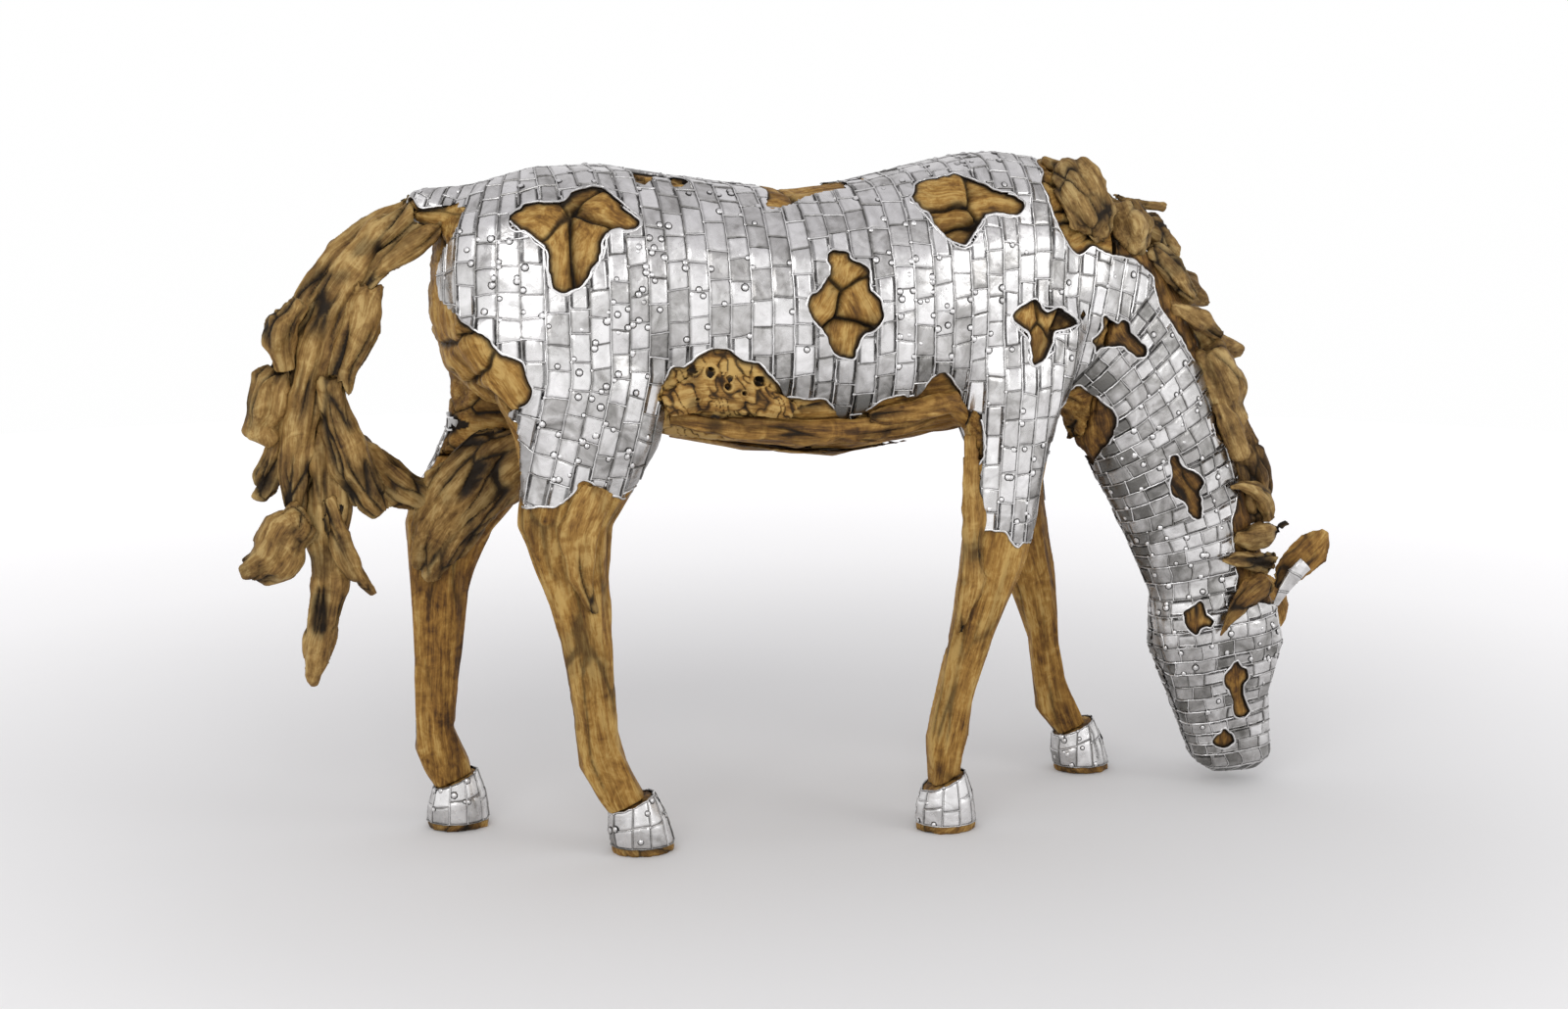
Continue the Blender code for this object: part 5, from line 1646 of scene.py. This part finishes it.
def seen_roots(points, normals, look, seed):
    """The chosen roots of the right side: which points they cover, their grain, and their relief."""
    x, y, z = (points - np.array(OFFSET)).T
    bend = SEEN_BEND * shaken(points, SEEN_BEND_LENGTH, seed + 60, 2)
    x, z = x + bend[:, 0], z + bend[:, 1]
    first = np.full(len(points), FAR)
    second = first.copy()
    turn = np.zeros(len(points))
    rise = np.zeros(len(points))
    place = np.zeros((len(points), 2))
    for site_x, site_z, degrees, height in ROOTS_SEEN:
        angle = math.radians(degrees)
        along = (x - site_x) * math.cos(angle) + (z - site_z) * math.sin(angle)
        across = (z - site_z) * math.cos(angle) - (x - site_x) * math.sin(angle)
        gap = np.hypot(along / SEEN_STRETCH, across)
        closer = gap < first
        second = np.where(closer, first, np.minimum(second, gap))
        first = np.where(closer, gap, first)
        turn = np.where(closer, degrees, turn)
        rise = np.where(closer, height, rise)
        place = np.where(closer[:, None], np.stack([along, across], axis=1), place)
    chosen = (first < SEEN_REACH) & (y < 0) & (normals[:, 1] < SEEN_FACING)
    grain = np.stack([*(place.T + turn * GRAIN_SHIFT), y], axis=1)
    mark = np.full(len(points), SEEN_MARK)
    bent = bent_grain(points, grain, seed)
    depth, hollow, tone = relief(points, bent, (second - first) * SEEN_SHARPNESS, mark, look, seed)
    rise = rise * RISE_SCALE
    # Painted shade: the gaps between roots and the roots that sink are darkened
    gap = 1 - steps(second - first, *SEEN_GAP)
    depth = depth - GAP_DEPTH * gap
    hollow = np.clip(np.maximum(hollow + 0.45 * steps(-rise, *SEEN_SHADE), 0.9 * gap), 0, 1)
    return chosen, grain, (np.minimum(depth + rise - SEEN_SINK, SEEN_HIGHEST), hollow, tone)


def burl_share(points):
    """1 over the burl behind the thigh on the right side, 0 away from it."""
    x, y, z = (points - np.array(OFFSET)).T
    away = np.hypot((x - BURL_PLACE[0]) / BURL_REACH[0], (z - BURL_PLACE[1]) / BURL_REACH[1])
    return (1 - steps(away, *BURL_EDGE)) * (y < 0)


def refined(mesh, name):
    """A coarse mesh with its faces cut finer where no metal covers them."""
    depth = EDGES.depths(coordinates(mesh), normals_of(mesh))
    bm = bmesh.new()
    bm.from_mesh(mesh)
    bare = [face for face in bm.faces if min(depth[vert.index] for vert in face.verts) < BARE_REACH]
    edges = list({edge for face in bare for edge in face.edges})
    bmesh.ops.subdivide_edges(bm, edges=edges, cuts=BARE_CUTS, use_grid_fill=True, smooth=0.0)
    bm.normal_update()
    return mesh_of(bm, name)


def bare_piece(name, look, seed, material):
    """A piece mostly under metal: carved finely where it is bare and left coarse elsewhere."""
    mesh = refined(remeshed(mesh_of(welded(name), name), BARE_VOXEL), name)
    points, normals = coordinates(mesh), normals_of(mesh)
    depth = EDGES.depths(points, normals)
    grain = Grain(points, look.slices).of(points)
    values = carving(points, grain, look, seed)
    chosen, seen_grain, seen = seen_roots(points, normals, look, seed)
    values = [np.where(chosen, new, old) for new, old in zip(seen, values)]
    grain = np.where(chosen[:, None], seen_grain, grain)
    knotty = burl_share(points)
    burl = carving(points, grain, BURL, seed)
    carved, hollow, tone = (old * (1 - knotty) + new * knotty for new, old in zip(burl, values))
    tone = tone + BURL.tone * knotty
    shown = steps(-depth, *BARE_EDGE)
    sunk = carved * shown - HIDDEN_DEPTH * (1 - shown) * (depth < HIDDEN_REACH)
    moved = points + normals * sunk[:, None]
    mesh.vertices.foreach_set("co", moved.reshape(-1))
    # Wood by the metal's edge darkened as singed and as painted shadow of the edge
    singed_and_shaded = 1 - steps(-depth, *SINGED_AND_SHADED_EDGE)
    store(mesh, grain, np.maximum(hollow, singed_and_shaded), tone + look.tone - PAINTED_SHADE_BY_PIECE.get(name, 0.0), look.grey)
    mesh = thinned(mesh)
    mesh.materials.append(material)
    show(f"{name}_carved", mesh, "driftwood", name)


PIECES = (
    ("_leg", LOG), ("_hoof", SOLE), ("tail_root_", ROOT), ("mane_chunk_", CHUNK), ("forelock_horn", HORN),
    ("right_ear", LEAF), ("left_ear", LEAF), ("belly_knot", BURL), ("belly_keel", KEEL), ("belly_", PLANK),
    ("_piece", PLANK), ("_root", ROOT), ("_plank", PLANK),
)
# Painted shade: pieces made darker than their kind, by tone, where they lie in shade
PAINTED_SHADE_BY_PIECE = {
    "left_hind_leg": 0.45, "left_fore_leg": 0.35, "belly_middle": 0.45, "belly_fore": 0.45,
    "belly_knot": 0.35, "neck_wood": 0.85, "head_wood": 0.6,
    "mane_chunk_12": 0.55, "mane_chunk_8": 0.3, "mane_chunk_11": 0.3,
    "right_ear": 0.35, "left_ear": 0.35, "forelock_horn": 0.25,
}
BARE_PIECES = (("torso_wood", BLOCK), ("neck_wood", PLANK), ("head_wood", LEAF))
METAL_NODES = ("metal_cladding", "_hoof_wrap", "_facing")
SEED_STEP = 40


def look_of(name):
    """The look of a piece, by how its name begins or ends."""
    for part, look in PIECES:
        if name.endswith(part) or name.startswith(part):
            return look
    return PLANK


def all_wood(material):
    """Every node that isn't metal, carved."""
    bare = dict(BARE_PIECES)
    for seed, name in enumerate(sorted(NODES)):
        if name in bare:
            bare_piece(name, bare[name], seed * SEED_STEP, material)
        elif not any(name.endswith(part) for part in METAL_NODES):
            wood_piece(name, look_of(name), seed * SEED_STEP, material)


# Materials


WOOD_TONES = (
    (0.60, (0.024, 0.012, 0.006)), (0.72, (0.092, 0.043, 0.013)), (0.81, (0.205, 0.098, 0.021)),
    (0.90, (0.330, 0.176, 0.040)), (1.00, (0.480, 0.305, 0.096)),
)
GREY_TONES = (
    (0.60, (0.021, 0.013, 0.007)), (0.72, (0.078, 0.045, 0.018)), (0.81, (0.170, 0.103, 0.038)),
    (0.90, (0.275, 0.180, 0.070)), (1.00, (0.450, 0.325, 0.145)),
)


def new_material(name):
    """A material, its nodes and its links."""
    made = bpy.data.materials.new(name)
    made.use_nodes = True
    return made, made.node_tree.nodes, made.node_tree.links


def ramp(nodes, stops):
    """Colours that follow a number."""
    node = nodes.new("ShaderNodeValToRGB")
    while len(node.color_ramp.elements) < len(stops):
        node.color_ramp.elements.new(0.5)
    for element, (place, colour) in zip(node.color_ramp.elements, stops):
        element.position = place
        element.color = (*colour, 1.0)
    return node


def attribute(nodes, name):
    """A value or vector stored on the mesh."""
    node = nodes.new("ShaderNodeAttribute")
    node.attribute_name = name
    return node


def scaled_noise(nodes, links, source, scale, detail, roughness=0.55, distortion=0.0):
    """Noise over places or over grain coordinates, by its scale along each axis."""
    stretch = nodes.new("ShaderNodeMapping")
    stretch.inputs["Scale"].default_value = scale
    links.new(source, stretch.inputs["Vector"])
    made = nodes.new("ShaderNodeTexNoise")
    made.inputs["Scale"].default_value = 1.0
    made.inputs["Detail"].default_value = detail
    made.inputs["Roughness"].default_value = roughness
    made.inputs["Distortion"].default_value = distortion
    links.new(stretch.outputs["Vector"], made.inputs["Vector"])
    return made.outputs["Fac"]


def weighted(nodes, links, terms):
    """The sum of sockets times weights."""
    total = None
    for socket, weight in terms:
        node = nodes.new("ShaderNodeMath")
        node.operation = "MULTIPLY_ADD"
        node.inputs[1].default_value = weight
        node.inputs[2].default_value = 0.0
        links.new(socket, node.inputs[0])
        if total is not None:
            links.new(total, node.inputs[2])
        total = node.outputs["Value"]
    return total


def blended(nodes, links, name, first, second):
    """A colour that goes from the first to the second as a value stored on the mesh grows."""
    node = nodes.new("ShaderNodeMix")
    node.data_type = "RGBA"
    links.new(attribute(nodes, name).outputs["Fac"], node.inputs["Factor"])
    links.new(first, node.inputs["A"])
    if isinstance(second, tuple):
        node.inputs["B"].default_value = second
    else:
        links.new(second, node.inputs["B"])
    return node.outputs["Result"]


def roughened(nodes, links, shader, socket, span, roughness):
    """Let a shader's roughness follow a socket over a span of its values."""
    node = nodes.new("ShaderNodeMapRange")
    for name, value in zip(("From Min", "From Max", "To Min", "To Max"), (*span, *roughness)):
        node.inputs[name].default_value = value
    links.new(socket, node.inputs["Value"])
    links.new(node.outputs["Result"], shader.inputs["Roughness"])


def bumped(nodes, links, shader, height, strength, distance):
    """Small relief on a shader, from a socket's height."""
    node = nodes.new("ShaderNodeBump")
    node.inputs["Strength"].default_value = strength
    node.inputs["Distance"].default_value = distance
    links.new(height, node.inputs["Height"])
    links.new(node.outputs["Normal"], shader.inputs["Normal"])


METAL_TONES = (
    (0.34, (0.17, 0.165, 0.155)), (0.52, (0.39, 0.38, 0.37)),
    (0.70, (0.64, 0.63, 0.625)), (0.92, (0.84, 0.83, 0.83)),
)
METAL_SOOT_AND_SHADE = (0.035, 0.033, 0.030, 1.0)
METAL_ROUGHNESS = (0.21, 0.38)
METAL_SPAN = (0.3, 0.7)
METAL_BUMP = (0.45, 0.004)
SMUDGE_SCALE = (17.0,) * 3
SCUFF_SCALE = (60.0,) * 3


def metal_material():
    """Bright sheet metal: smudged and scuffed, with its own tone on every plate, lower on plates that face
    down as painted shade, and soot with painted shade at the seams, rivets and edges.
    """
    made, nodes, links = new_material("bright_metal")
    shader = nodes["Principled BSDF"]
    shader.inputs["Metallic"].default_value = 1.0
    place = nodes.new("ShaderNodeTexCoord").outputs["Object"]
    smudge = scaled_noise(nodes, links, place, SMUDGE_SCALE, 4.0, distortion=1.2)
    scuffs = scaled_noise(nodes, links, place, SCUFF_SCALE, 4.0)
    sheet_tone = attribute(nodes, "tone").outputs["Fac"]
    tone = ramp(nodes, METAL_TONES)
    mixed = weighted(nodes, links, ((sheet_tone, 0.44), (smudge, 0.66), (scuffs, 0.16)))
    links.new(mixed, tone.inputs["Fac"])
    # Soot and painted shade at seams, rivet rings and the rim's lip darken the colour
    sooty_and_shaded = blended(nodes, links, "soot", tone.outputs["Color"], METAL_SOOT_AND_SHADE)
    links.new(sooty_and_shaded, shader.inputs["Base Color"])
    roughened(nodes, links, shader, scuffs, METAL_SPAN, METAL_ROUGHNESS)
    bumped(nodes, links, shader, weighted(nodes, links, ((smudge, 0.9), (scuffs, 0.35))), *METAL_BUMP)
    return made


WOOD_SHINE = 0.14
WOOD_ROUGHNESS = (0.42, 0.72)
WOOD_SPAN = (0.0, 1.0)
WOOD_BUMP = (0.8, 0.0032)
# Colour of painted shade in hollows and cracks, and of the dark burns and knots' eyes
WOOD_SHADE_AND_DARK_MARKS = (0.014, 0.009, 0.005, 1.0)
# Scales along the grain and across it
STREAK_SCALE = (7.0, 75.0, 75.0)
BLOTCH_SCALE = (9.0, 24.0, 24.0)
FIBRE_SCALE = (16.0, 260.0, 260.0)
# The same in all directions
SPECK_SCALE = (70.0,) * 3
STAIN_SCALE = (19.0,) * 3


def wood_material():
    """Driftwood: streaked along its grain, blotched and stained, greyer where weathered, darkened in hollows
    and cracks as painted shade and at its burns and eyes.
    """
    made, nodes, links = new_material("driftwood")
    shader = nodes["Principled BSDF"]
    shader.inputs["Specular IOR Level"].default_value = WOOD_SHINE
    grain = attribute(nodes, "grain").outputs["Vector"]
    place = nodes.new("ShaderNodeTexCoord").outputs["Object"]
    streaks = scaled_noise(nodes, links, grain, STREAK_SCALE, 6.0, 0.65)
    blotches = scaled_noise(nodes, links, grain, BLOTCH_SCALE, 4.0)
    specks = scaled_noise(nodes, links, place, SPECK_SCALE, 3.0)
    tone = attribute(nodes, "tone").outputs["Fac"]
    fibres = scaled_noise(nodes, links, grain, FIBRE_SCALE, 3.0, 0.6)
    stains = scaled_noise(nodes, links, place, STAIN_SCALE, 5.0, 0.62, 1.4)
    mixed = weighted(
        nodes, links,
        ((streaks, 0.54), (blotches, 0.32), (stains, 0.40), (specks, 0.10), (fibres, 0.26), (tone, 0.16)),
    )
    warm, grey = ramp(nodes, WOOD_TONES), ramp(nodes, GREY_TONES)
    links.new(mixed, warm.inputs["Fac"])
    links.new(mixed, grey.inputs["Fac"])
    colour = blended(nodes, links, "weathered", warm.outputs["Color"], grey.outputs["Color"])
    links.new(blended(nodes, links, "hollow", colour, WOOD_SHADE_AND_DARK_MARKS), shader.inputs["Base Color"])
    roughened(nodes, links, shader, streaks, WOOD_SPAN, WOOD_ROUGHNESS)
    relief_height = weighted(nodes, links, ((streaks, 1.0), (specks, 0.4), (fibres, 0.6)))
    bumped(nodes, links, shader, relief_height, *WOOD_BUMP)
    return made


METAL_FINISH = metal_material()
WOOD_FINISH = wood_material()


# Stage


FLOOR_SIDES = 96
FLOOR_ROUGHNESS = 0.9
FLOOR_SHINE = 0.2


def stage_floor():
    """A round pale floor, painted a little greyer round the horse as shade, and glowing towards its edge as
    painted light.
    """
    bm = bmesh.new()
    bmesh.ops.create_circle(bm, cap_ends=True, segments=FLOOR_SIDES, radius=FLOOR_RADIUS)
    mesh = mesh_of(bm, "floor")
    floor = placed("floor", mesh)
    made, nodes, links = new_material("floor")
    shader = nodes["Principled BSDF"]
    shader.inputs["Roughness"].default_value = FLOOR_ROUGHNESS
    shader.inputs["Specular IOR Level"].default_value = FLOOR_SHINE
    place = nodes.new("ShaderNodeTexCoord")
    reach = nodes.new("ShaderNodeVectorMath")
    reach.operation = "LENGTH"
    links.new(place.outputs["Object"], reach.inputs[0])
    span = nodes.new("ShaderNodeMapRange")
    span.inputs["From Max"].default_value = FLOOR_RADIUS
    links.new(reach.outputs["Value"], span.inputs["Value"])
    colour = ramp(nodes, FLOOR_PALE_AND_PAINTED_SHADE)
    links.new(span.outputs["Result"], colour.inputs["Fac"])
    links.new(colour.outputs["Color"], shader.inputs["Base Color"])
    glow = ramp(nodes, FLOOR_PAINTED_GLOW)
    links.new(span.outputs["Result"], glow.inputs["Fac"])
    links.new(glow.outputs["Color"], shader.inputs["Emission Color"])
    shader.inputs["Emission Strength"].default_value = 1.0
    mesh.materials.append(made)


def aimed(name, data, place, direction):
    """A camera or a lamp at a place, looking in a direction."""
    obj = placed(name, data)
    obj.location = place
    obj.rotation_mode = "QUATERNION"
    obj.rotation_quaternion = direction.to_track_quat("-Z", "Y")
    return obj


def area_light(name, place, target, width, height, power):
    """A softbox turned to its target."""
    light = bpy.data.lights.new(name, "AREA")
    light.shape = "RECTANGLE"
    light.size = width
    light.size_y = height
    light.energy = power
    aimed(name, light, place, Vector(target) - Vector(place))


def studio_world():
    """A pale studio: white round the horizon under a greyer ceiling."""
    world = bpy.data.worlds.new("studio")
    world.use_nodes = True
    nodes, links = world.node_tree.nodes, world.node_tree.links
    place = nodes.new("ShaderNodeTexCoord")
    split = nodes.new("ShaderNodeSeparateXYZ")
    links.new(place.outputs["Generated"], split.inputs["Vector"])
    height = nodes.new("ShaderNodeMapRange")
    height.inputs["From Min"].default_value = -1.0
    links.new(split.outputs["Z"], height.inputs["Value"])
    colour = ramp(nodes, SKY_TONES)
    links.new(height.outputs["Result"], colour.inputs["Fac"])
    links.new(colour.outputs["Color"], nodes["Background"].inputs["Color"])
    bpy.context.scene.world = world


def lights():
    """The studio and its softboxes, with colours shown as they are."""
    studio_world()
    for name, place, target, width, height, power in SOFTBOXES:
        area_light(name, place, target, width, height, power)
    bpy.context.scene.view_settings.view_transform = "Standard"


def camera():
    """The camera that the photo was taken with, as fitted to the hooves and the floor line."""
    made = bpy.data.cameras.new("camera")
    made.lens = LENS
    made.sensor_width = SENSOR
    yaw, pitch = math.radians(CAMERA_YAW), math.radians(CAMERA_PITCH)
    forward = Vector((math.sin(yaw) * math.cos(pitch), math.cos(yaw) * math.cos(pitch), -math.sin(pitch)))
    bpy.context.scene.camera = aimed("camera", made, Vector(CAMERA_PLACE) + OFFSET, forward)


camera()
lights()
stage_floor()
plate_body(METAL_FINISH)
rim_bands(METAL_FINISH)
under_skin(METAL_FINISH)
plate_hooves(METAL_FINISH)
plate_ear(METAL_FINISH)
all_wood(WOOD_FINISH)
